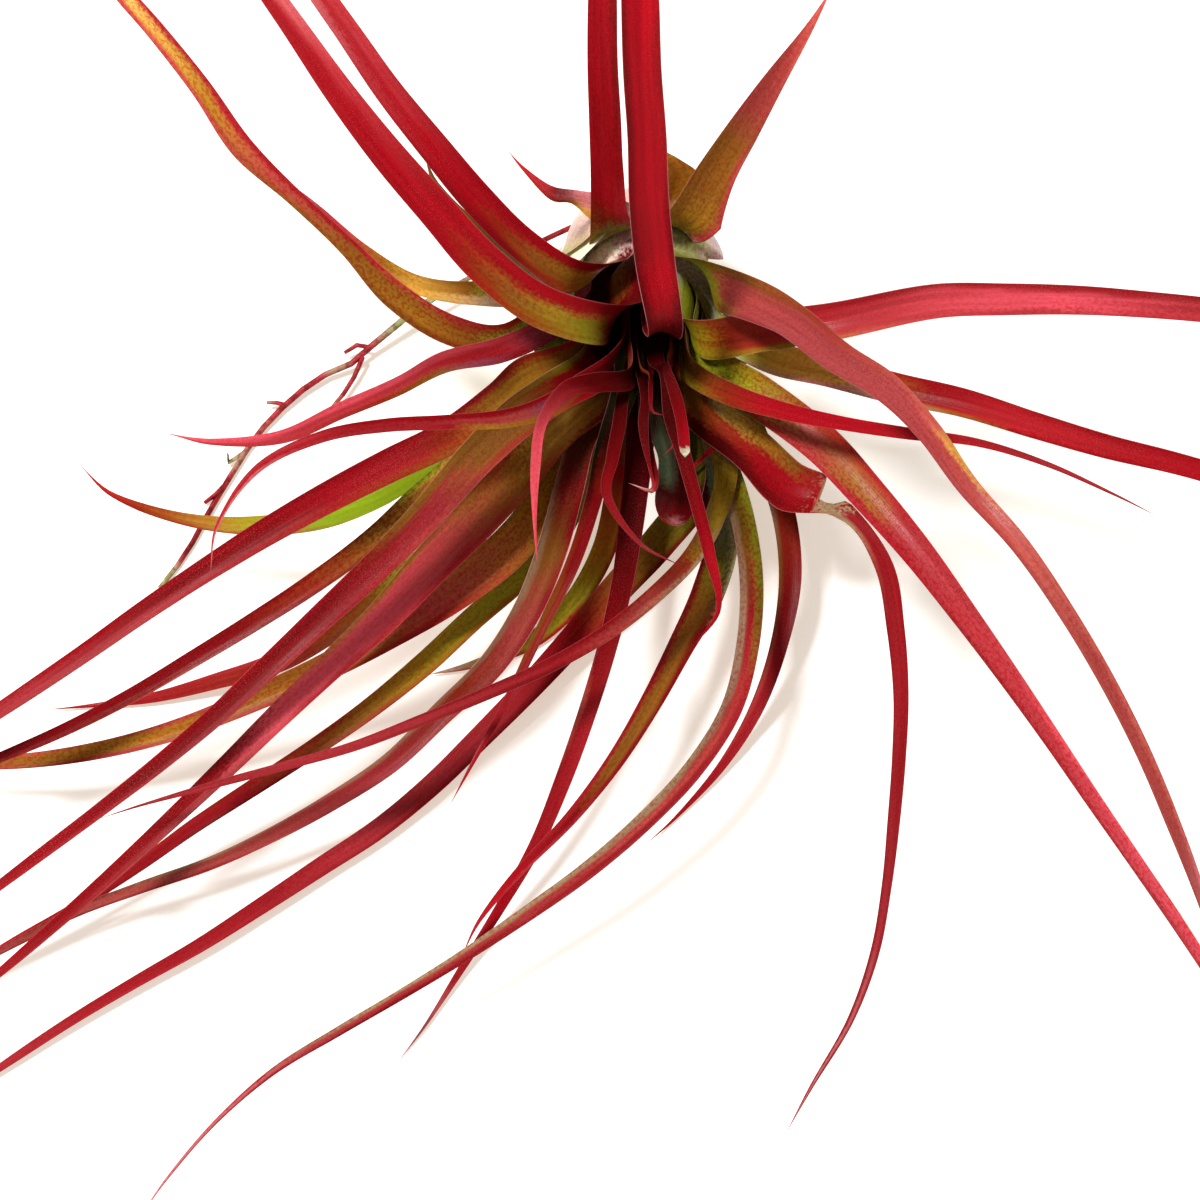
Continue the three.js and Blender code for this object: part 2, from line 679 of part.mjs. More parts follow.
// The blade from the sheath's end along the leaf's way to its tip
function bladeStations(leaf, sheath) {
  const count = leaf.way.length;
  const steps = [0];
  for (let i = 1; i < count; i++) {
    const [x0, y0] = leaf.way[i - 1];
    const [x1, y1] = leaf.way[i];
    steps.push(steps[i - 1] + Math.hypot(x1 - x0, y1 - y0));
  }
  const wayPoints = leaf.way.map((place, i) =>
    pointOnSightLine(place, readEvenly(leaf.heights, steps[i] / steps[count - 1])),
  );
  const last = sheath[sheath.length - 1];
  const entry = sheath[sheath.length - 2];
  const curve = new THREE.CatmullRomCurve3([entry.point, last.point, ...wayPoints], false, "centripetal");
  curve.arcLengthDivisions = 400;
  const total = curve.getLength();
  const neck = last.point.distanceTo(wayPoints[0]);
  const begin = entry.point.distanceTo(last.point);
  const run = total - begin;
  const cut = leaf.widths[leaf.widths.length - 1] > 0;
  const ends = cut ? CUT_END_LENGTH : Math.min(TIP_LENGTH, run * TIP_SHARE);
  const rings = Math.max(4, Math.round((run - ends) / STATION_SPACING));
  const stations = [];
  for (let i = 1; i <= rings; i++) {
    const travelled = ((run - ends) * i) / rings;
    const at = (begin + travelled) / total;
    const point = curve.getPointAt(at);
    const tangent = curve.getTangentAt(at);
    const fraction = THREE.MathUtils.clamp((travelled - neck) / (run - neck), 0, 1);
    const apparent = readEvenly(leaf.widths, fraction);
    const seenWidth = (apparent * eye.clone().sub(point).dot(toViewer)) / VIEW_DISTANCE;
    const spread = THREE.MathUtils.smoothstep(travelled, 0, NECK_LENGTH);
    const widened = Math.min(1, spread * NECK_WIDENS_AHEAD);
    const width = Math.max(THREE.MathUtils.lerp(last.width, seenWidth, widened), LEAST_WIDTH);
    const halfAngle = THREE.MathUtils.lerp(last.halfAngle, BLADE_HALF_ANGLE, spread);
    const facing = tangent.clone().cross(toViewer).multiplyScalar(spread);
    const across = last.across.clone().multiplyScalar(1 - spread).add(facing);
    const full = THREE.MathUtils.lerp(SHEATH_THICKNESS, BLADE_THICKNESS, spread);
    const thickness = Math.min(full, EDGE_THICKNESS + THICKNESS_PER_WIDTH * width);
    const freedom = THREE.MathUtils.smoothstep(i, 0, FREE_AFTER_STATIONS);
    stations.push(station(point, across, width, halfAngle, thickness, freedom));
  }
  return { stations, tip: curve.getPointAt(1) };
}

// Squares each station on to the run of the leaf as it now lies
function squareUp(leaf) {
  const { stations } = leaf;
  const tip = { point: leaf.tip };
  stations.forEach((s, i) => {
    const before = stations[Math.max(i - 1, 0)];
    const after = stations[i + 1] ?? tip;
    s.tangent = after.point.clone().sub(before.point).normalize();
    s.across.addScaledVector(s.tangent, -s.across.dot(s.tangent)).normalize();
    s.inner = s.across.clone().cross(s.tangent).normalize();
  });
}

// A point of a cross-section: u runs over the width from -1 to 1, lift is across the thickness
function sectionPoint(s, u, lift) {
  const radius = s.width / (2 * s.halfAngle);
  const turn = u * s.halfAngle;
  const point = s.point.clone().addScaledVector(s.across, (radius - lift) * Math.sin(turn));
  return point.addScaledVector(s.inner, radius - (radius - lift) * Math.cos(turn));
}

const COLUMNS = [-1, -0.5, 0, 0.5, 1];
const thicknessShare = (u) => 1 - MARGIN_THINNING * u * u;

// Points spread over every leaf, each with the side it faces and the room it takes up
function spreadSamples(leaves) {
  const samples = [];
  for (const leaf of leaves) {
    for (let i = 0; i < leaf.stations.length; i++) {
      const from = leaf.stations[i];
      const to = leaf.stations[i + 1];
      const end = to ? null : leaf.tip;
      const length = from.point.distanceTo(to ? to.point : end);
      const parts = Math.max(1, Math.ceil(length / SAMPLE_SPACING));
      for (let part = 0; part < parts; part++) {
        const f = part / parts;
        for (const u of COLUMNS) {
          const a = sectionPoint(from, u, 0);
          const b = to ? sectionPoint(to, u, 0) : end;
          const turn = u * from.halfAngle;
          const normal = from.inner.clone().multiplyScalar(Math.cos(turn));
          normal.addScaledVector(from.across, -Math.sin(turn));
          const thick = THREE.MathUtils.lerp(from.thickness, to ? to.thickness : 0, f) * thicknessShare(u);
          samples.push({ leaf, i, f, point: a.lerp(b, f), normal, half: thick / 2 });
        }
      }
    }
  }
  return samples;
}

function cellKey(x, y, z) {
  return (x + 500) * 1000003 + (y + 500) * 1009 + (z + 500);
}

function sortIntoCells(samples) {
  const cells = new Map();
  for (const sample of samples) {
    const { x, y, z } = sample.point;
    const key = cellKey(Math.floor(x / CELL), Math.floor(y / CELL), Math.floor(z / CELL));
    if (!cells.has(key)) {
      cells.set(key, []);
    }
    cells.get(key).push(sample);
  }
  return cells;
}

function cellsAround(cells, { x, y, z }) {
  const found = [];
  for (let i = -1; i <= 1; i++) {
    for (let j = -1; j <= 1; j++) {
      for (let k = -1; k <= 1; k++) {
        const key = cellKey(Math.floor(x / CELL) + i, Math.floor(y / CELL) + j, Math.floor(z / CELL) + k);
        if (cells.has(key)) {
          found.push(cells.get(key));
        }
      }
    }
  }
  return found;
}

// Leaves that lie too close, or through each other, push apart: the inner one rises off the outer one
function pushApart(leaves) {
  const samples = spreadSamples(leaves);
  const cells = sortIntoCells(samples);
  const push = new Map();
  for (const leaf of leaves) {
    push.set(leaf, leaf.stations.map(() => ({ out: 0, along: new THREE.Vector3() })));
  }
  const note = (sample, amount, direction) => {
    const rows = push.get(sample.leaf);
    for (const [index, share] of [[sample.i, 1 - sample.f], [sample.i + 1, sample.f]]) {
      if (index >= rows.length || share < LEAST_SHARE) {
        continue;
      }
      const row = rows[index];
      if (amount > row.out) {
        row.out = amount;
        row.along.copy(direction).multiplyScalar(amount);
      }
    }
  };
  const delta = new THREE.Vector3();
  const away = new THREE.Vector3();
  const meet = (lower, upper) => {
    if (upper.leaf.order <= lower.leaf.order) {
      return;
    }
    delta.copy(upper.point).sub(lower.point);
    const height = delta.dot(lower.normal);
    const room = upper.half + lower.half + LEAF_GAP;
    const aside = Math.sqrt(Math.max(0, delta.lengthSq() - height * height));
    if (height > room || height < -REACH || aside > REACH_ASIDE) {
      return;
    }
    const mobileUpper = upper.leaf.stations[upper.i].freedom;
    const mobileLower = lower.leaf.stations[lower.i].freedom;
    const mobile = mobileUpper + mobileLower;
    if (mobile > 0) {
      const lack = room - height;
      note(upper, (lack * mobileUpper) / mobile, lower.normal);
      note(lower, (lack * mobileLower) / mobile, away.copy(lower.normal).negate());
    }
  };
  for (const lower of samples) {
    for (const cell of cellsAround(cells, lower.point)) {
      for (const upper of cell) {
        meet(lower, upper);
      }
    }
  }
  for (const leaf of leaves) {
    const rows = push.get(leaf);
    for (let pass = 0; pass < 2; pass++) {
      const eased = rows.map((row, i) => {
        const before = rows[Math.max(i - 1, 0)].along;
        const after = rows[Math.min(i + 1, rows.length - 1)].along;
        const own = row.along.clone().multiplyScalar(1 - 2 * EASE_SHARE);
        return own.addScaledVector(before, EASE_SHARE).addScaledVector(after, EASE_SHARE);
      });
      eased.forEach((along, i) => rows[i].along.copy(along));
    }
    leaf.stations.forEach((s, i) => {
      s.point.addScaledVector(rows[i].along, s.freedom * PUSH_SHARE);
      const drift = s.point.clone().sub(s.home).clampLength(0, MOST_DRIFT);
      s.point.copy(s.home).add(drift);
    });
    leaf.tip.addScaledVector(rows[rows.length - 1].along, PUSH_SHARE);
  }
}

// No leaf dips into the surface that the plant lies on
function liftOffSurface(leaf) {
  for (const s of leaf.stations) {
    const lowest = Math.min(...COLUMNS.map((u) => sectionPoint(s, u, -s.thickness / 2).z));
    if (lowest < SURFACE_GAP) {
      s.point.z += (SURFACE_GAP - lowest) * s.freedom;
    }
  }
  leaf.tip.z = Math.max(leaf.tip.z, SURFACE_GAP);
}

// A leaf's closed skin: its inner and outer face over all its cross-sections, its tip and its foot
function leafMesh(leaf) {
  const { stations, tip } = leaf;
  const positions = [];
  const rings = stations.map((s) => {
    const half = (u) => (s.thickness / 2) * thicknessShare(u);
    const add = (point) => positions.push(point.x, point.y, point.z) / 3 - 1;
    const addBelow = (point) => add(s.pressed ? point.setZ(0) : point);
    const left = addBelow(sectionPoint(s, -1, 0));
    const right = addBelow(sectionPoint(s, 1, 0));
    const inside = COLUMNS.slice(1, -1).map((u) => add(sectionPoint(s, u, half(u))));
    const outside = COLUMNS.slice(1, -1).map((u) => addBelow(sectionPoint(s, u, -half(u))));
    return { upper: [left, ...inside, right], lower: [left, ...outside, right] };
  });
  const faces = [];
  const skin = (from, to, flip) => {
    for (let c = 0; c < COLUMNS.length - 1; c++) {
      const quad = [from[c], from[c + 1], to[c + 1], to[c]];
      const pair = [[quad[0], quad[1], quad[2]], [quad[0], quad[2], quad[3]]];
      for (const [a, b, d] of pair) {
        faces.push(...(flip ? [a, d, b] : [a, b, d]));
      }
    }
  };
  for (let i = 0; i + 1 < rings.length; i++) {
    skin(rings[i].upper, rings[i + 1].upper, false);
    skin(rings[i].lower, rings[i + 1].lower, true);
  }
  const last = rings[rings.length - 1];
  const apex = positions.push(tip.x, tip.y, tip.z) / 3 - 1;
  for (let c = 0; c < COLUMNS.length - 1; c++) {
    faces.push(last.upper[c], last.upper[c + 1], apex);
    faces.push(last.lower[c + 1], last.lower[c], apex);
  }
  const { upper, lower } = rings[0];
  for (let c = 0; c < COLUMNS.length - 1; c++) {
    if (c + 1 < COLUMNS.length - 1) {
      faces.push(upper[c + 1], upper[c], lower[c + 1]);
    }
    if (c > 0) {
      faces.push(upper[c], lower[c], lower[c + 1]);
    }
  }
  const geometry = new THREE.BufferGeometry();
  geometry.setAttribute("position", new THREE.Float32BufferAttribute(positions, 3));
  geometry.setIndex(faces);
  geometry.computeVertexNormals();
  return geometry;
}

function solidOf(positions, faces) {
  const vertProperties = new Float32Array(positions);
  const triVerts = new Uint32Array(faces);
  return new wasm.Manifold(new wasm.Mesh({ numProp: 3, vertProperties, triVerts }));
}

// A round tapering strand through points, closed at both ends, as a solid to be joined
function strandSolid(points, [fromRadius, toRadius], spacing) {
  const curve = new THREE.CatmullRomCurve3(points, false, "centripetal");
  const steps = Math.max(2, Math.round(curve.getLength() / spacing));
  const frames = curve.computeFrenetFrames(steps, false);
  const positions = [];
  for (let i = 0; i <= steps; i++) {
    const centre = curve.getPointAt(i / steps);
    const radius = THREE.MathUtils.lerp(fromRadius, toRadius, i / steps);
    for (let side = 0; side < ROOT.sides; side++) {
      const turn = (2 * Math.PI * side) / ROOT.sides;
      const point = centre.clone().addScaledVector(frames.normals[i], radius * Math.cos(turn));
      point.addScaledVector(frames.binormals[i], radius * Math.sin(turn));
      positions.push(...point.toArray());
    }
  }
  const faces = [];
  for (let i = 0; i < steps; i++) {
    for (let side = 0; side < ROOT.sides; side++) {
      const a = i * ROOT.sides + side;
      const b = i * ROOT.sides + ((side + 1) % ROOT.sides);
      faces.push(a, b, b + ROOT.sides, a, b + ROOT.sides, a + ROOT.sides);
    }
  }
  const end = steps * ROOT.sides;
  for (let side = 1; side + 1 < ROOT.sides; side++) {
    faces.push(0, side + 1, side, end, end + side, end + side + 1);
  }
  return solidOf(positions, faces);
}

// The short stem inside the bulb: a turned body along the axis
function stemSolid() {
  const length = STEM_TO - STEM_FROM;
  const profile = [
    [0, 0],
    [STEM_RADIUS * 0.8, 0.8],
    [STEM_RADIUS, 3],
    [STEM_RADIUS, length - 2],
    [STEM_RADIUS * 0.7, length],
    [0, length],
  ];
  const lathe = new THREE.LatheGeometry(profile.map(([r, h]) => new THREE.Vector2(r, h)), STEM_SIDES);
  lathe.deleteAttribute("normal");
  lathe.deleteAttribute("uv");
  const turn = new THREE.Quaternion().setFromUnitVectors(new THREE.Vector3(0, 1, 0), axis);
  lathe.applyQuaternion(turn);
  const from = pointOnAxis(STEM_FROM);
  lathe.translate(from.x, from.y, from.z);
  const merged = mergeVertices(lathe, 1e-3);
  return solidOf(merged.attributes.position.array, merged.index.array);
}

function geometryOf(solid) {
  const { vertProperties, triVerts } = solid.getMesh();
  const geometry = new THREE.BufferGeometry();
  geometry.setAttribute("position", new THREE.BufferAttribute(new Float32Array(vertProperties), 3));
  geometry.setIndex(new THREE.BufferAttribute(new Uint32Array(triVerts), 1));
  geometry.computeVertexNormals();
  return geometry;
}

function stemWithRoot() {
  let solid = stemSolid();
  const placed = (way) => way.map(([right, up, height]) => pointOnSightLine([right, up], height));
  const [inside, outside] = ROOT.fromStem.map((along) => pointOnAxis(STEM_FROM + along));
  outside.add(new THREE.Vector3(...ROOT.bend));
  const route = [inside, outside, ...placed(ROOT.way)];
  solid = solid.add(strandSolid(route, ROOT.radii, ROOT.spacing));
  for (const branch of ROOT.branches) {
    solid = solid.add(strandSolid(placed(branch), ROOT.branchRadii, ROOT.branchSpacing));
  }
  return geometryOf(solid);
}

function material(colour, roughness) {
  return new THREE.MeshStandardMaterial({ color: colour, roughness, metalness: 0 });
}

const leaves = LEAVES.map((row) => ({ ring: row.order, ...row }));
wrapSheaths(leaves);
for (const leaf of leaves) {
  const sheath = sheathStations(leaf);
  const blade = bladeStations(leaf, sheath);
  leaf.stations = [...sheath, ...blade.stations];
  leaf.tip = blade.tip;
  squareUp(leaf);
}
for (let round = 0; round < ROUNDS; round++) {
  pushApart(leaves);
  for (const leaf of leaves) {
    squareUp(leaf);
    liftOffSurface(leaf);
    squareUp(leaf);
  }
}

const plant = new THREE.Group();
const leafMaterial = material(0xb01b24, 0.5);
for (const leaf of leaves) {
  const mesh = new THREE.Mesh(leafMesh(leaf), leafMaterial);
  mesh.name = leaf.name;
  plant.add(mesh);
}
const stem = new THREE.Mesh(stemWithRoot(), material(0x8a5a3c, 0.8));
stem.name = "stem_and_root";
plant.add(stem);

export default plant;
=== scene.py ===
import json
import math

import bmesh
import bpy
import numpy as np
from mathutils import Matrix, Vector

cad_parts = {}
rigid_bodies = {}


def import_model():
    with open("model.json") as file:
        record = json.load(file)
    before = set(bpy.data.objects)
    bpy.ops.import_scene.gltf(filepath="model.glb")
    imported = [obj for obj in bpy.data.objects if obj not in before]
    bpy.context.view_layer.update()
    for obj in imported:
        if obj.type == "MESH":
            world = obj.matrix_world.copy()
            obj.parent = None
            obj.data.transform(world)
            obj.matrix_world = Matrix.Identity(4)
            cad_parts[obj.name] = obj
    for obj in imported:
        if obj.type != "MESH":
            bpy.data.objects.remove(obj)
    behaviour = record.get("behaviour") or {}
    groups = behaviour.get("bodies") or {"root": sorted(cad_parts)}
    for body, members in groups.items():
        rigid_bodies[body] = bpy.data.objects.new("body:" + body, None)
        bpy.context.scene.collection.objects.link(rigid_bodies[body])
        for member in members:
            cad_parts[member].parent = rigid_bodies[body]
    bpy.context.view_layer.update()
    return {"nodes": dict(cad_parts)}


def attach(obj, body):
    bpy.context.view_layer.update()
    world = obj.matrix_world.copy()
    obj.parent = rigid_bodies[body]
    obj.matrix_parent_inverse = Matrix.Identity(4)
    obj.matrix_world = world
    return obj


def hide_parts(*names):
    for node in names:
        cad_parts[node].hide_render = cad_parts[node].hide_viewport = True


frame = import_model()

# All lengths are in metres. The viewer looks down at the heart of the rosette, and sees a piece of the
# plane through it that is VIEW_WIDTH wide and has its centre at VIEW_CENTRE from it, to the right and up.
HEART = Vector((0.0039, -0.0168, 0.0304))
VIEW_RISE = math.radians(66)
VIEW_DISTANCE = 0.45
VIEW_CENTRE = (-0.011, -0.051)
VIEW_WIDTH = 0.24
SENSOR = 36.0
NEAREST_SEEN = 0.01

# The pale surface glows a little, so that it stays white and the shadows on it are soft and tan
FLOOR_REACH = 3
FLOOR_GREY = (0.72, 0.72, 0.72, 1)
FLOOR_GLOW = (1.0, 0.89, 0.74, 1)
FLOOR_GLOW_STRENGTH = 0.5

# Soft light comes from all round, but only the key light shows in the leaves as gloss
WORLD_LIGHT = 0.45
WORLD_GLOSS = 0.02
KEY_PLACE = (-0.40, -0.02, 0.98)
KEY_SIZE = 0.2
KEY_WATTS = 15

# The wiry root is fatter than its solid, beyond where it leaves the bulb
ROOT_FROM_X = -0.04
ROOT_FATTER = 0.00025

# A solid leaf is a row of rings of points and ends in one point, its tip. On each of its faces, the
# points of a ring stand in columns, from the left margin (-1) to the right one (1). Points nearer than
# SAME_PLACE are one.
RING_POINTS = 8
COARSE_COLUMNS = np.array([-1, -0.5, 0, 0.5, 1])
SAME_PLACE = 1e-6

# A fine leaf has a ring every RING_SPACING and is STRIPS faces wide
RING_SPACING = 0.0014
FEWEST_RINGS = 8
STRIPS = 12

# The sheath is SHEATH_SHARE of a leaf's length. The blade's channel is deeper than in its solid, by as
# much as CHANNEL_DEEPER of the solid's depth.
CHANNEL_DEEPER = 0.7
SHEATH_SHARE = 0.14

# The flat map of a leaf: the width and length that fill it
MAP_WIDTH = 0.04
MAP_LENGTH = 0.32

# The colours of the living plant. Some also stand in for light and shade: the darkest paint the shade deep
# in the heart and in the leaves' channels, and the pale gold and salmon paint light where leaves lie in
# shade.
BRIGHT_RED = (0.45, 0.003, 0.012)
RED = (0.31, 0.002, 0.007)
DEEP_RED = (0.19, 0.002, 0.004)
# Dark red is partly the leaves' own colour and partly painted shade, at their bases in the hollow heart and
# on channel walls
DARK_RED_AND_SHADE = (0.085, 0.001, 0.002)
BROWN_RED = (0.26, 0.022, 0.005)
ROSE = (0.38, 0.027, 0.034)
ROSE_RED = (0.31, 0.009, 0.014)
CORAL = (0.64, 0.070, 0.095)
DUSKY = (0.36, 0.048, 0.050)
OLD_ROSE = (0.40, 0.055, 0.045)
# Salmon is partly the leaves' own colour and partly painted light: a lighter old rose where a leaf lies in
# shade
SALMON_AND_LIGHT = (0.52, 0.10, 0.075)
PINK = (0.70, 0.24, 0.25)
PLUM = (0.25, 0.05, 0.085)
GOLD = (0.31, 0.15, 0.010)
OLIVE_GOLD = (0.25, 0.16, 0.007)
# Pale gold is partly the leaves' own colour and partly painted light, on golden bands that lie in shade
PALE_GOLD_AND_LIGHT = (0.60, 0.36, 0.05)
OLIVE = (0.16, 0.15, 0.006)
GREEN = (0.22, 0.27, 0.012)
LIME = (0.24, 0.40, 0.010)
# A near-black that is painted shade, deep in the heart of the rosette
PAINTED_HEART_SHADE = (0.012, 0.012, 0.003)
DARK_GREEN = (0.04, 0.055, 0.008)
BLUE_GREEN = (0.16, 0.24, 0.12)
PALE_GREEN = (0.45, 0.50, 0.20)
CREAM = (0.80, 0.80, 0.55)
BLUSH = (0.80, 0.52, 0.50)
TAN = (0.34, 0.21, 0.13)
GREY_TAN = (0.36, 0.25, 0.13)
DRY = (0.24, 0.17, 0.12)
BROWN = (0.22, 0.085, 0.008)
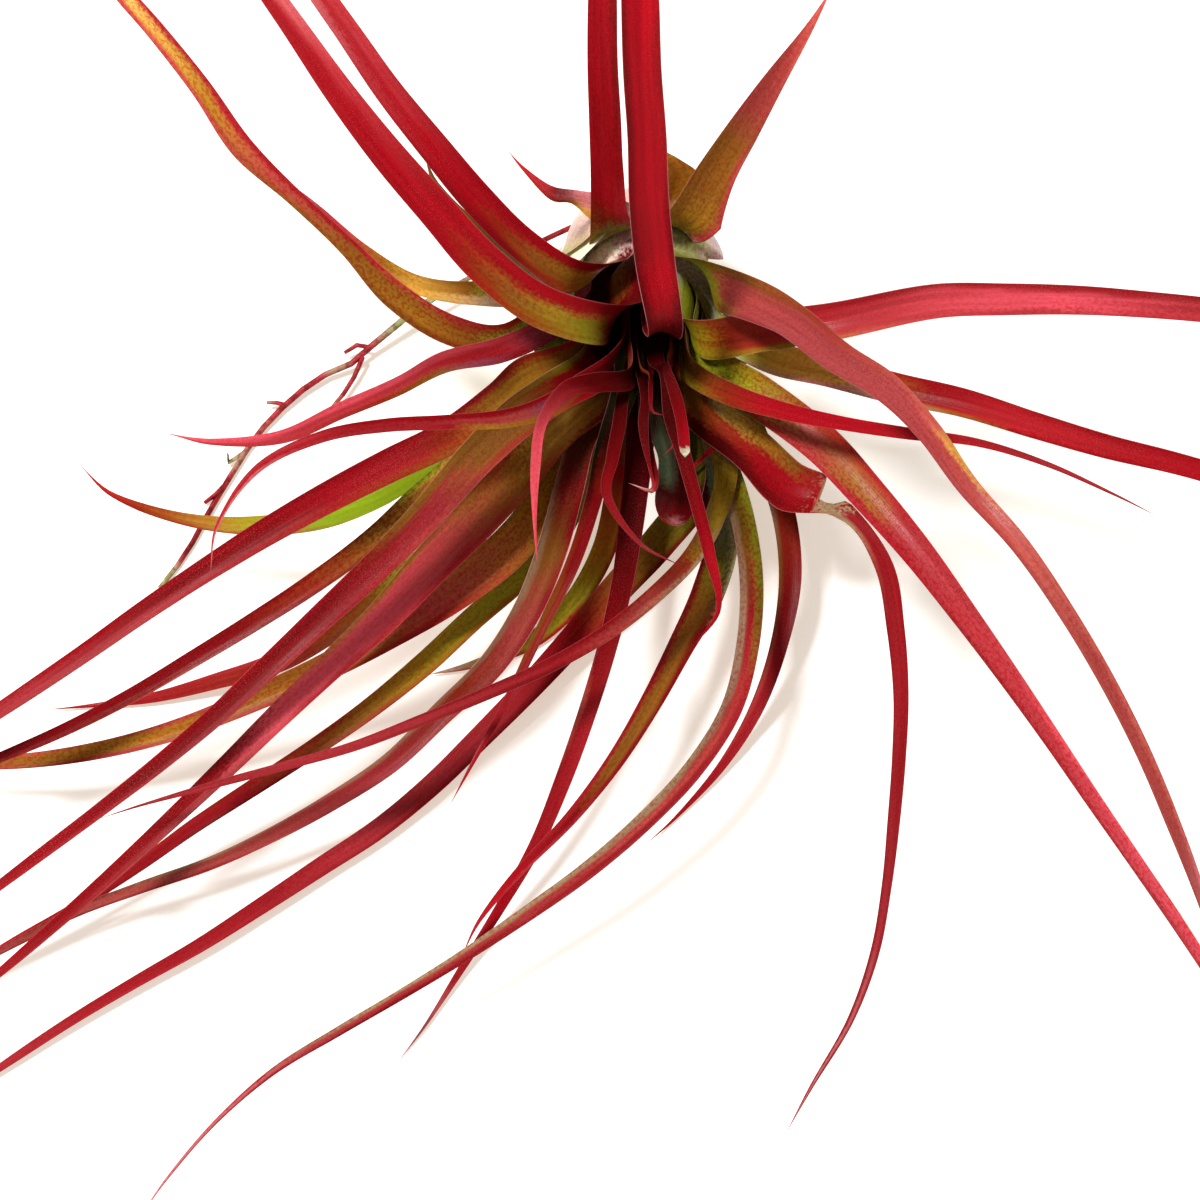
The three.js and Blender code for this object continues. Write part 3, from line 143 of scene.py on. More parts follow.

# One entry for each leaf. middle, left and right are the colours down its middle and along its margins,
# each from a share of its length. Left and right are as seen from its base, and a margin that isn't given
# is as the middle. The tone makes all of these lighter or darker: partly the leaf's own tone, and partly
# painted light and shade, lighter where the leaf lies in shade or has light through it, darker deep in the
# heart. margins is how far out the margins begin, and lean moves the middle to the left. back is the colour
# of its underside. specks is how speckled it is with red, scales how silvery it is, rough how rough its
# surface is, shine how strong its gloss is, and rim how pink its edges are.
PLAIN = dict(light_and_tone=1.0, left=None, right=None, margins=0.75, lean=0.0, back=BROWN_RED, specks=0.5,
             scales=0.35, rough=0.3, rim=0.3, shine=0.05)
LOOKS = {
    "leaf_low_short": dict(
        middle=[(0, CREAM), (0.4, DARK_GREEN), (0.48, DEEP_RED), (0.6, BROWN), (0.7, OLIVE), (0.88, OLIVE),
                (0.96, DRY)],
        left=[(0.45, DARK_RED_AND_SHADE), (0.9, DEEP_RED)],
        light_and_tone=2.2, scales=0.2),
    "leaf_lowest_long": dict(
        middle=[(0, CREAM), (0.2, GREEN), (0.27, OLIVE), (0.33, BROWN), (0.4, RED), (0.5, ROSE),
                (0.62, ROSE), (0.7, ROSE_RED), (0.85, ROSE_RED), (0.95, ROSE), (1, PINK)],
        left=[(0.35, DEEP_RED), (0.7, RED), (1, ROSE)]),
    "leaf_left_ground_tip": dict(
        middle=[(0, CREAM), (0.2, LIME), (0.52, LIME), (0.6, BROWN), (0.7, BROWN_RED), (0.9, ROSE_RED),
                (1, RED)],
        right=[(0.5, LIME), (0.58, BROWN_RED), (0.8, ROSE), (1, RED)]),
    "leaf_left_green": dict(
        middle=[(0, CREAM), (0.2, LIME), (0.68, LIME), (0.8, GOLD), (0.9, BROWN_RED), (1, BRIGHT_RED)],
        left=[(0.6, LIME), (0.75, BROWN_RED), (0.9, RED)],
        light_and_tone=1.1, back=GREEN, specks=0.15, scales=0.1),
    "leaf_right_low_tip": dict(
        middle=[(0, CREAM), (0.3, GREEN), (0.4, BROWN), (0.46, BROWN_RED), (0.6, DEEP_RED), (0.7, ROSE_RED),
                (0.8, ROSE_RED), (1, RED)],
        right=[(0.3, OLIVE_GOLD), (0.45, TAN), (0.55, BROWN), (0.7, OLD_ROSE), (1, RED)],
        light_and_tone=0.9, margins=0.7),
    "leaf_low_olive": dict(
        middle=[(0, CREAM), (0.2, GREEN), (0.42, GREEN), (0.5, OLIVE_GOLD), (0.58, BROWN), (0.68, ROSE_RED),
                (1, ROSE_RED)],
        left=[(0.3, OLIVE), (0.45, BROWN), (0.55, DEEP_RED), (1, DEEP_RED)],
        right=[(0.3, GREEN), (0.5, OLIVE_GOLD), (0.6, BROWN_RED), (1, ROSE_RED)],
        light_and_tone=1.5),
    "leaf_left_low_mottled": dict(
        middle=[(0, CREAM), (0.2, OLIVE), (0.35, GOLD), (0.48, OLD_ROSE), (0.56, BROWN), (0.68, BROWN),
                (0.76, GOLD), (0.86, BROWN), (1, ROSE)],
        left=[(0.2, OLIVE), (0.38, BROWN), (0.5, ROSE_RED), (0.6, BROWN_RED), (1, ROSE_RED)],
        right=[(0.2, OLIVE_GOLD), (0.5, GOLD), (0.62, BROWN), (0.7, OLD_ROSE), (1, OLD_ROSE)],
        light_and_tone=1.3, specks=0.8),
    "leaf_low_dark_long": dict(
        middle=[(0, CREAM), (0.12, GREEN), (0.2, DARK_GREEN), (0.3, DEEP_RED), (0.36, BROWN),
                (0.43, OLD_ROSE), (0.5, BROWN_RED), (0.6, ROSE), (0.7, OLD_ROSE), (0.85, SALMON_AND_LIGHT), (1, ROSE)],
        left=[(0.25, DEEP_RED), (0.6, ROSE_RED), (1, ROSE_RED)],
        right=[(0.2, GREY_TAN), (0.75, GREY_TAN), (0.85, ROSE), (1, RED)],
        light_and_tone=0.75, margins=0.8, scales=0.7, rim=0.8),
    "leaf_centre_broad": dict(
        middle=[(0, GREEN), (0.2, DARK_RED_AND_SHADE), (0.38, DARK_RED_AND_SHADE), (0.5, DEEP_RED), (0.6, ROSE_RED),
                (0.72, ROSE_RED), (0.8, RED), (0.9, ROSE_RED), (1, PINK)],
        right=[(0.3, DARK_RED_AND_SHADE), (0.4, DEEP_RED), (0.5, DEEP_RED), (0.58, SALMON_AND_LIGHT), (0.66, ROSE_RED),
               (1, ROSE)],
        light_and_tone=0.85, scales=0.5, rough=0.42, shine=0.01),
    "leaf_front_crossing_tip": dict(
        middle=[(0, CREAM), (0.2, BLUE_GREEN), (0.38, BLUE_GREEN), (0.44, OLIVE), (0.5, BROWN),
                (0.72, BROWN), (0.79, DEEP_RED), (0.87, RED), (0.93, BRIGHT_RED), (1, ROSE)],
        left=[(0.33, PALE_GREEN), (0.43, PALE_GREEN), (0.52, DEEP_RED), (0.75, DEEP_RED), (0.85, ROSE),
              (1, ROSE_RED)],
        right=[(0.36, DARK_RED_AND_SHADE), (0.5, DEEP_RED), (0.75, ROSE_RED), (1, ROSE_RED)],
        margins=0.6),
    "leaf_front_gold_back": dict(
        middle=[(0, CREAM), (0.2, GREEN), (0.27, OLIVE_GOLD), (0.36, ROSE_RED), (0.5, OLD_ROSE), (0.8, ROSE),
                (1, PINK)],
        left=[(0.2, GREEN), (0.34, OLIVE), (0.42, ROSE_RED), (0.8, DEEP_RED), (0.9, ROSE), (1, PINK)],
        right=[(0.1, BROWN), (0.2, GREY_TAN), (0.42, TAN), (0.5, GREY_TAN), (0.78, GREY_TAN), (0.88, ROSE),
               (1, PINK)],
        light_and_tone=0.95, margins=0.45, scales=0.6, specks=0.8),
    "leaf_back_left_pale": dict(
        middle=[(0, CREAM), (0.42, CREAM), (0.5, BLUSH), (0.6, PALE_GREEN), (0.8, OLIVE_GOLD), (1, BROWN)],
        light_and_tone=1.1, scales=0.1, specks=0.1, back=CREAM),
    "leaf_back_left_dry": dict(
        middle=[(0, CREAM), (0.2, CREAM), (0.3, BLUSH), (0.36, PALE_GREEN), (0.5, LIME), (0.58, BROWN),
                (0.68, PALE_GOLD_AND_LIGHT), (0.76, GOLD), (0.84, ROSE), (1, DEEP_RED)],
        left=[(0, CREAM), (0.3, BLUSH), (0.36, BROWN), (0.45, DRY), (0.55, GREY_TAN), (0.66, PALE_GOLD_AND_LIGHT),
              (0.8, BROWN_RED), (1, DARK_RED_AND_SHADE)],
        light_and_tone=1.2, margins=0.3, back=TAN),
    "leaf_left_olive_folded": dict(
        middle=[(0, CREAM), (0.15, PALE_GREEN), (0.25, GREEN), (0.31, BROWN), (0.38, GOLD), (0.48, BROWN),
                (0.6, OLD_ROSE), (0.7, GOLD), (0.85, PALE_GOLD_AND_LIGHT), (1, ROSE)],
        left=[(0.25, DEEP_RED), (0.4, BROWN), (0.55, BROWN), (0.7, OLD_ROSE), (1, SALMON_AND_LIGHT)],
        right=[(0.25, BROWN_RED), (0.4, ROSE), (0.5, ROSE_RED), (1, ROSE)],
        light_and_tone=1.15, margins=0.6, specks=0.9),
    # Its pale gold base is partly painted light, where the leaf over it casts shade
    "leaf_right_olive_base": dict(
        middle=[(0, CREAM), (0.2, GREEN), (0.27, PALE_GOLD_AND_LIGHT), (0.34, PALE_GOLD_AND_LIGHT), (0.38, BROWN),
                (0.47, DEEP_RED), (0.58, ROSE_RED), (1, RED)],
        left=[(0.2, GREEN), (0.28, PALE_GOLD_AND_LIGHT), (0.34, PALE_GOLD_AND_LIGHT), (0.38, BROWN_RED), (0.45, DEEP_RED),
              (1, RED)],
        right=[(0.2, PALE_GREEN), (0.33, PINK), (0.4, TAN), (0.5, BROWN), (0.58, DEEP_RED), (1, RED)],
        light_and_tone=1.3, margins=0.8, scales=0.5, back=GREEN),
    # Its pale gold band is partly painted light, where the leaf lies in shade
    "leaf_left_dark_long": dict(
        middle=[(0, GREEN), (0.2, OLIVE), (0.34, PALE_GOLD_AND_LIGHT), (0.42, PALE_GOLD_AND_LIGHT), (0.49, BROWN),
                (0.56, BROWN_RED), (0.64, DEEP_RED), (0.85, DEEP_RED), (1, ROSE_RED)],
        left=[(0.2, DEEP_RED), (0.55, DEEP_RED), (0.75, BROWN_RED), (1, ROSE)],
        right=[(0.15, OLIVE), (0.35, LIME), (0.42, LIME), (0.48, BROWN_RED), (0.6, DEEP_RED), (1, RED)],
        light_and_tone=0.95, specks=0.8),
    # The bright band from 0.26 to 0.6 of its length is painted light, over the shade that the leaf above it
    # casts
    "leaf_left_olive_long": dict(
        middle=[(0, CREAM), (0.08, GREEN), (0.15, BROWN), (0.26, PALE_GOLD_AND_LIGHT), (0.3, GOLD), (0.39, OLD_ROSE),
                (0.47, CORAL), (0.6, CORAL), (0.67, DEEP_RED), (0.85, DEEP_RED), (1, ROSE_RED)],
        left=[(0.15, DARK_RED_AND_SHADE), (0.25, BROWN_RED), (0.38, ROSE_RED), (0.6, ROSE_RED), (0.67, DEEP_RED),
              (1, ROSE_RED)],
        right=[(0.1, OLIVE), (0.25, BRIGHT_RED), (0.36, BROWN), (0.5, GOLD), (0.58, OLD_ROSE),
               (0.66, DEEP_RED), (1, RED)],
        light_and_tone=1.25, scales=0.7, rough=0.36, shine=0.06),
    # Its base is painted shade, near black, where it goes down into the heart
    "leaf_front_left_pointed": dict(
        middle=[(0, PAINTED_HEART_SHADE), (0.3, PAINTED_HEART_SHADE), (0.38, DARK_RED_AND_SHADE), (0.42, BROWN_RED), (0.5, DEEP_RED),
                (0.62, DEEP_RED), (0.7, BROWN_RED), (0.8, ROSE_RED), (1, BRIGHT_RED)],
        right=[(0.2, PAINTED_HEART_SHADE), (0.42, PAINTED_HEART_SHADE), (0.5, DARK_RED_AND_SHADE), (0.6, BROWN_RED), (0.72, BROWN),
               (0.82, ROSE_RED)],
        light_and_tone=0.8, margins=0.4),
    "leaf_left_purple": dict(
        middle=[(0, CREAM), (0.2, ROSE), (0.32, PLUM), (0.42, ROSE_RED), (0.5, ROSE_RED), (0.6, ROSE),
                (0.8, ROSE), (0.9, CORAL), (1, CORAL)],
        left=[(0.25, PLUM), (0.4, DEEP_RED), (0.48, PLUM), (0.56, BROWN), (0.66, BROWN_RED), (0.8, ROSE),
              (1, ROSE)],
        right=[(0.3, PLUM), (0.4, ROSE), (0.55, CORAL), (0.66, CORAL), (1, CORAL)],
        margins=0.45, scales=0.5),
    "leaf_left_top_long": dict(
        middle=[(0, CREAM), (0.1, OLIVE), (0.18, BROWN), (0.25, GOLD), (0.31, GOLD), (0.38, BROWN_RED),
                (0.43, ROSE_RED), (0.5, RED), (0.56, DEEP_RED), (0.66, DEEP_RED), (0.82, ROSE), (1, ROSE)],
        left=[(0.08, GREEN), (0.22, GREEN), (0.34, BROWN), (0.44, BROWN_RED), (0.6, ROSE_RED), (1, ROSE)],
        right=[(0.1, ROSE_RED), (0.24, BROWN_RED), (0.33, ROSE_RED), (0.42, RED), (0.7, RED), (1, ROSE_RED)],
        light_and_tone=0.95, margins=0.6, scales=0.8, rough=0.36),
    # Its dark red and low tone are painted shade, deep in the heart
    "leaf_centre_stub": dict(
        middle=[(0, GREEN), (0.4, DARK_RED_AND_SHADE), (0.86, DARK_RED_AND_SHADE), (0.95, RED), (0.98, PINK)],
        left=[(0.4, DARK_GREEN), (0.55, OLIVE), (0.75, OLIVE), (0.84, DARK_RED_AND_SHADE), (0.96, RED)],
        right=[(0.4, DARK_GREEN), (0.6, BLUE_GREEN), (0.75, BLUE_GREEN), (0.84, DARK_RED_AND_SHADE), (0.96, RED)],
        light_and_tone=0.4, margins=0.4),
    "leaf_left_bright_long": dict(
        middle=[(0, DARK_RED_AND_SHADE), (0.15, DARK_RED_AND_SHADE), (0.22, DEEP_RED), (0.28, BROWN), (0.35, BROWN), (0.4, ROSE),
                (0.47, ROSE_RED), (0.55, DEEP_RED), (0.75, DEEP_RED), (0.85, RED), (1, ROSE)],
        left=[(0.1, DARK_RED_AND_SHADE), (0.2, RED), (0.3, BROWN_RED), (0.4, OLD_ROSE), (0.5, ROSE_RED),
              (0.75, ROSE_RED), (1, ROSE)],
        right=[(0.1, DARK_RED_AND_SHADE), (0.2, OLIVE), (0.3, BROWN), (0.37, GOLD), (0.43, GOLD), (0.49, RED),
               (0.8, RED), (1, ROSE_RED)],
        light_and_tone=0.9, scales=1.0, rough=0.34, shine=0.06),
    "leaf_back_small_pink": dict(
        middle=[(0, CREAM), (0.52, CREAM), (0.6, PINK), (0.72, PINK), (0.82, ROSE), (1, RED)],
        left=[(0.5, CREAM), (0.56, GOLD), (0.66, PALE_GOLD_AND_LIGHT), (0.76, BROWN_RED), (1, RED)],
        light_and_tone=1.5, margins=0.5, scales=0.8, back=PINK),
    "leaf_crossing_thin": dict(
        middle=[(0, CREAM), (0.25, OLIVE_GOLD), (0.36, OLIVE_GOLD), (0.39, BROWN_RED), (0.46, OLD_ROSE),
                (0.56, ROSE_RED), (0.7, ROSE), (1, ROSE)],
        left=[(0.3, OLIVE_GOLD), (0.38, GREY_TAN), (0.5, OLD_ROSE), (0.56, DEEP_RED), (0.68, ROSE_RED),
              (1, ROSE)],
        right=[(0.3, OLIVE_GOLD), (0.4, BROWN_RED), (0.5, RED), (0.65, ROSE_RED), (0.75, ROSE), (1, ROSE)],
        light_and_tone=0.8, margins=0.6),
    "leaf_inner_curl_right": dict(
        middle=[(0, DARK_RED_AND_SHADE), (0.6, RED), (1, BRIGHT_RED)],
        light_and_tone=0.8, back=TAN),
    "leaf_right_broken": dict(
        middle=[(0, DARK_RED_AND_SHADE), (0.15, BROWN), (0.2, BROWN_RED), (0.26, RED), (0.331, RED), (0.334, GREY_TAN),
                (0.354, GREY_TAN), (0.36, RED), (0.45, ROSE_RED), (0.65, ROSE_RED), (0.8, ROSE), (1, PINK)],
        left=[(0.1, OLIVE), (0.15, PALE_GREEN), (0.2, PALE_GOLD_AND_LIGHT), (0.24, GOLD), (0.29, BROWN), (0.32, RED),
              (0.334, GREY_TAN), (0.354, GREY_TAN), (0.36, RED), (0.6, ROSE_RED), (1, ROSE)],
        right=[(0.1, DARK_RED_AND_SHADE), (0.22, DARK_RED_AND_SHADE), (0.3, DEEP_RED), (0.331, RED), (0.334, GREY_TAN),
               (0.37, GREY_TAN), (0.42, OLD_ROSE), (0.5, ROSE_RED), (1, ROSE)],
        light_and_tone=0.8, margins=0.5),
    "leaf_right_down_long": dict(
        middle=[(0, GREEN), (0.1, GREEN), (0.16, GREEN), (0.22, OLIVE_GOLD), (0.28, OLD_ROSE), (0.34, GOLD),
                (0.4, ROSE), (0.62, ROSE), (0.8, CORAL), (1, CORAL)],
        left=[(0.1, GREEN), (0.2, OLIVE_GOLD), (0.28, BROWN_RED), (0.36, ROSE_RED), (0.5, ROSE),
              (0.65, CORAL), (1, CORAL)],
        right=[(0.1, OLIVE), (0.22, BROWN_RED), (0.3, ROSE), (0.42, ROSE_RED), (0.6, ROSE_RED), (0.75, ROSE),
               (1, CORAL)],
        light_and_tone=1.1, margins=0.65, scales=0.9, specks=0.9, rough=0.32, shine=0.12),
    # Its high tone is painted light, as it lies in shade
    "leaf_back_right_small": dict(
        middle=[(0, CREAM), (0.66, CREAM), (0.72, TAN), (0.78, GOLD), (1, BROWN)],
        light_and_tone=2.0, back=GOLD),
    "leaf_top_right": dict(
        middle=[(0, CREAM), (0.32, CREAM), (0.36, OLIVE_GOLD), (0.44, GOLD), (0.5, BROWN), (0.62, BROWN),
                (0.72, OLD_ROSE), (0.86, OLD_ROSE), (1, SALMON_AND_LIGHT)],
        right=[(0.3, BLUSH), (0.38, ROSE), (0.6, OLD_ROSE), (1, SALMON_AND_LIGHT)],
        light_and_tone=1.15, margins=0.8, specks=0.6),
    "leaf_right_level": dict(
        middle=[(0, GREEN), (0.13, GREEN), (0.16, OLIVE_GOLD), (0.2, BROWN_RED), (0.3, ROSE_RED),
                (0.4, ROSE), (0.6, CORAL), (0.75, ROSE), (1, ROSE)],
        left=[(0.1, GREEN), (0.15, BROWN), (0.2, BROWN_RED), (0.3, ROSE_RED), (1, ROSE_RED)],
        right=[(0.1, GREEN), (0.2, OLIVE_GOLD), (0.3, OLIVE_GOLD), (0.37, OLD_ROSE), (0.5, ROSE), (1, ROSE)],
        light_and_tone=1.1, margins=0.7, scales=0.7, shine=0.1),
    "leaf_upper_left_back": dict(
        middle=[(0, CREAM), (0.2, CREAM), (0.23, BLUSH), (0.26, GOLD), (0.34, BROWN), (0.42, BROWN_RED),
                (0.48, RED), (0.58, RED), (0.7, ROSE_RED), (1, ROSE)],
        left=[(0, CREAM), (0.2, CREAM), (0.24, OLIVE_GOLD), (0.32, BROWN_RED), (0.4, DEEP_RED), (0.55, RED),
              (0.7, ROSE), (1, PINK)],
        right=[(0, CREAM), (0.185, BLUSH), (0.215, DARK_RED_AND_SHADE), (0.3, RED), (0.5, RED), (0.7, ROSE),
               (1, ROSE)],
        light_and_tone=1.2, margins=0.4, lean=0.1, shine=0.08),
    "leaf_top_left": dict(
        middle=[(0, CREAM), (0.22, CREAM), (0.25, OLIVE), (0.285, OLIVE), (0.31, BROWN_RED), (0.35, RED),
                (0.5, RED), (1, BRIGHT_RED)],
        left=[(0.22, CREAM), (0.26, GREEN), (0.3, GOLD), (0.33, BROWN_RED), (0.37, RED), (0.45, BRIGHT_RED),
              (1, BRIGHT_RED)],
        right=[(0.22, CREAM), (0.27, OLIVE), (0.31, ROSE_RED), (0.4, DEEP_RED), (0.7, DEEP_RED), (1, RED)],
        light_and_tone=1.3, margins=0.55),
    # The dark band from 0.14 to 0.21 of its length is painted shade, at the mouth of the heart
    "leaf_upper_left_front": dict(
        middle=[(0, CREAM), (0.08, BROWN), (0.14, DARK_RED_AND_SHADE), (0.21, DARK_RED_AND_SHADE), (0.25, OLIVE),
                (0.3, OLIVE_GOLD), (0.36, BROWN), (0.42, BROWN_RED), (0.48, RED), (0.65, RED),
                (0.8, ROSE_RED), (1, ROSE_RED)],
        left=[(0.15, DARK_RED_AND_SHADE), (0.21, DARK_RED_AND_SHADE), (0.25, OLIVE), (0.3, BROWN), (0.38, BROWN_RED),
              (0.45, RED), (0.7, ROSE_RED), (1, ROSE_RED)],
        right=[(0.15, DARK_RED_AND_SHADE), (0.22, DEEP_RED), (0.32, RED), (0.5, RED), (0.7, ROSE), (1, PINK)],
        light_and_tone=1.2, margins=0.4, lean=0.15, shine=0.08),
    "leaf_right_thin_near": dict(
        middle=[(0, DARK_RED_AND_SHADE), (0.16, BROWN), (0.22, BROWN), (0.3, BROWN_RED), (0.38, BRIGHT_RED),
                (0.6, BRIGHT_RED), (0.8, ROSE_RED), (1, ROSE)],
        right=[(0.12, OLIVE_GOLD), (0.24, OLIVE_GOLD), (0.32, BROWN_RED), (0.42, BRIGHT_RED), (1, ROSE_RED)],
        light_and_tone=0.75, margins=0.4),
    "leaf_right_over_long": dict(
        middle=[(0, CREAM), (0.08, CREAM), (0.11, PALE_GREEN), (0.18, GREEN), (0.21, OLD_ROSE), (0.3, DUSKY),
                (0.45, DUSKY), (0.55, OLD_ROSE), (0.62, SALMON_AND_LIGHT), (0.7, OLD_ROSE), (0.85, OLD_ROSE),
                (1, PINK)],
        left=[(0, CREAM), (0.12, CREAM), (0.14, GREEN), (0.18, OLIVE), (0.22, BROWN), (0.33, BROWN_RED),
              (0.4, OLD_ROSE), (0.48, SALMON_AND_LIGHT), (0.52, PALE_GOLD_AND_LIGHT), (0.58, SALMON_AND_LIGHT), (0.8, SALMON_AND_LIGHT), (1, PINK)],
        right=[(0, CREAM), (0.12, BLUSH), (0.16, GREEN), (0.2, OLIVE_GOLD), (0.24, DUSKY), (0.4, DUSKY),
               (1, SALMON_AND_LIGHT)],
        light_and_tone=0.86, margins=0.65, scales=0.9, shine=0.1),
    "leaf_left_thin_near": dict(
        middle=[(0, DARK_RED_AND_SHADE), (0.25, DARK_RED_AND_SHADE), (0.33, DEEP_RED), (0.4, PLUM), (0.46, OLD_ROSE),
                (0.56, ROSE), (0.68, ROSE_RED), (0.85, ROSE_RED), (1, ROSE)],
        left=[(0.25, DARK_RED_AND_SHADE), (0.33, BROWN_RED), (0.42, BROWN), (0.52, GOLD), (0.58, ROSE_RED),
              (0.78, ROSE), (1, PINK)],
        right=[(0.2, DEEP_RED), (0.4, RED), (0.7, RED), (0.8, ROSE), (1, ROSE_RED)],
        light_and_tone=1.05, margins=0.45),
    # Its darker margins are painted shade on the walls of its channel, and its high tone is painted light
    # that passes through it
    "leaf_top_near": dict(
        middle=[(0, DARK_RED_AND_SHADE), (0.28, DARK_RED_AND_SHADE), (0.31, DEEP_RED), (0.36, RED), (0.6, RED), (1, BRIGHT_RED)],
        left=[(0.25, DARK_RED_AND_SHADE), (0.34, DARK_RED_AND_SHADE), (0.45, DEEP_RED), (1, DEEP_RED)],
        right=[(0.25, DARK_RED_AND_SHADE), (0.34, DARK_RED_AND_SHADE), (0.5, DEEP_RED), (1, DEEP_RED)],
        light_and_tone=1.25, margins=0.8, specks=0.1, rim=0.9),
    # The inner leaves are dark at their bases, and most have low tones: painted shade, deep in the heart
    "leaf_inner_down_right": dict(
        middle=[(0, DARK_RED_AND_SHADE), (0.4, DARK_RED_AND_SHADE), (0.55, DEEP_RED), (0.7, RED), (0.85, ROSE_RED), (1, ROSE)],
        light_and_tone=0.6, back=ROSE),
    "leaf_inner_drooping": dict(
        middle=[(0, DARK_RED_AND_SHADE), (0.3, DARK_RED_AND_SHADE), (0.42, DEEP_RED), (0.5, RED), (0.6, ROSE), (0.7, CORAL),
                (0.8, CORAL), (1, CORAL)],
        light_and_tone=0.85, rough=0.35),
    "leaf_inner_bright": dict(
        middle=[(0, DARK_RED_AND_SHADE), (0.4, DARK_RED_AND_SHADE), (0.55, DEEP_RED), (0.7, RED), (0.8, BRIGHT_RED),
                (1, BRIGHT_RED)],
        light_and_tone=0.6),
    "leaf_inner_left": dict(
        middle=[(0, DARK_RED_AND_SHADE), (0.5, DEEP_RED), (0.8, DEEP_RED), (1, BRIGHT_RED)],
        light_and_tone=0.4),
    "leaf_inner_hook_low": dict(
        middle=[(0, DARK_RED_AND_SHADE), (0.7, DARK_RED_AND_SHADE), (0.85, DEEP_RED), (0.93, ROSE), (1, BLUSH)],
        light_and_tone=0.9),
    "leaf_inner_hook_small": dict(
        middle=[(0, DARK_RED_AND_SHADE), (0.6, DARK_RED_AND_SHADE), (0.85, RED), (1, ROSE)],
        light_and_tone=0.5),
    "leaf_inner_hook_right": dict(
        middle=[(0, DARK_RED_AND_SHADE), (0.5, DEEP_RED), (0.7, ROSE), (1, ROSE)],
        light_and_tone=0.7),
    "leaf_inner_cut": dict(
        middle=[(0, DARK_RED_AND_SHADE), (0.4, DARK_RED_AND_SHADE), (0.6, DEEP_RED), (0.8, RED), (0.92, BRIGHT_RED),
                (0.95, BRIGHT_RED), (0.965, CREAM)],
        light_and_tone=0.6),
}

# Where a leaf's form departs from its plain outline, in rows: the share of its length, its width as a
# share of the plain one, and what stays in place, from its left margin (-1) over its middle (0) to its
# right margin (1)
FORMS = {
    "leaf_right_over_long": [(0.15, 1, -1), (0.2, 1.2, -1), (0.24, 1.2, -1), (0.3, 1, -1)],
    "leaf_back_left_pale": [(0.15, 1, 0), (0.3, 2.1, 0), (0.42, 2.1, 0), (0.54, 1, 0)],
    "leaf_inner_hook_low": [(0.7, 1, 0), (0.85, 2.2, 0), (1, 2.2, 0)],
    "leaf_left_green": [(0.5, 1, 0), (0.65, 1.8, 0), (0.9, 2, 0), (1, 1.2, 0)],
    "leaf_left_ground_tip": [(0.5, 1, 0), (0.7, 1.6, 0), (0.9, 1.8, 0), (1, 1.2, 0)],
    "leaf_left_purple": [(0.6, 1, 0), (0.8, 1.4, 0), (0.95, 1.6, 0), (1, 1, 0)],
    "leaf_top_right": [(0.2, 1, 0), (0.26, 0.6, -1), (0.36, 0.6, -1), (0.45, 1, -1)],
    "leaf_back_small_pink": [(0.3, 1, 0), (0.5, 0.7, 0), (0.62, 0.9, 0), (0.78, 1.5, 0), (0.95, 1, 0)],
    "leaf_back_left_dry": [(0.05, 1, 0), (0.15, 1.5, -1), (0.3, 1.5, -1), (0.38, 1, -1)],
    "leaf_centre_stub": [(0.3, 1, 0), (0.5, 1.4, -1), (1, 1.4, -1)],
    "leaf_right_broken": [(0.3, 1, 0), (0.328, 1.2, 1), (0.333, 1.2, 1), (0.336, 0.4, 0.9),
                          (0.352, 0.5, 0.6), (0.357, 1.0, 0), (0.4, 1, 0)],
}

# How fast each pattern changes on a leaf, for each millimetre across it and along it. The last number
# tells leaves apart: a leaf's patterns start SEED_STEP after those of the leaf before it, and those on
# its upper face FACE_STEP after those on its underside.
CLOUDS = (0.45, 0.12, 1)
SPOTS = (1.7, 1.1, 1)
WAVES = (0.3, 0.06, 1)
STREAKS = (0.9, 0.02, 1)
GRAINS = (5.5, 3.6, 1)
PATCHES = (0.25, 0.05, 1)
SEED_STEP = 11.0
FACE_STEP = 3.0

# How much spots and clouds count in breaking up the colours, and how far the breaking up reaches along
# the leaf
SPOTS_COUNT = 0.9
CLOUDS_COUNT = 1.0
BREAKUP = 0.065

# How far the margins' colours wander with waves and with spots, and over which width they come in: from
# MARGIN_INSIDE before the place where they begin to MARGIN_OUTSIDE after it
WAVES_REACH = 0.6
SPOTS_REACH = 0.3
MARGIN_INSIDE = 0.35
MARGIN_OUTSIDE = 0.25

# What speckles and streaks do to the colour under them, and how strongly
SPECK_TINT = (0.85, 0.28, 0.28)
SPECK_SHARE = 0.85
STREAK_TINT = (0.62, 0.50, 0.50)
STREAK_SHARE = 0.6

# The silvery scales: their colour on the upper face, how much they cover on each face, and their height
# beside that of the streaks. They are smoother than the leaf by SILVER_SMOOTHER, and streaks change its
# roughness by STREAK_ROUGHER up or down.
SILVER = (0.80, 0.42, 0.38)
SILVER_SHARE = 0.14
BACK_SCALES_SHARE = 0.5
SCALE_HEIGHT = 0.7
SILVER_SMOOTHER = 0.2
STREAK_ROUGHER = 0.08

# How much of its own colour the underside shows, and how light any colour may be
BACK_SHARE = 0.55
LIGHTEST = 0.95

# The root's colours, and how often they and its scars change in a metre, in each direction
ROOT_COLOURS = [(0.38, DEEP_RED), (0.44, ROSE_RED), (0.54, ROSE), (0.60, TAN), (0.66, PALE_GREEN)]
ROOT_CHANGES = (55, 55, 55)
SCAR_CHANGES = (600, 600, 600)
SCAR_TINT = (0.35, 0.15, 0.10)
ROOT_SHINE = 0.2


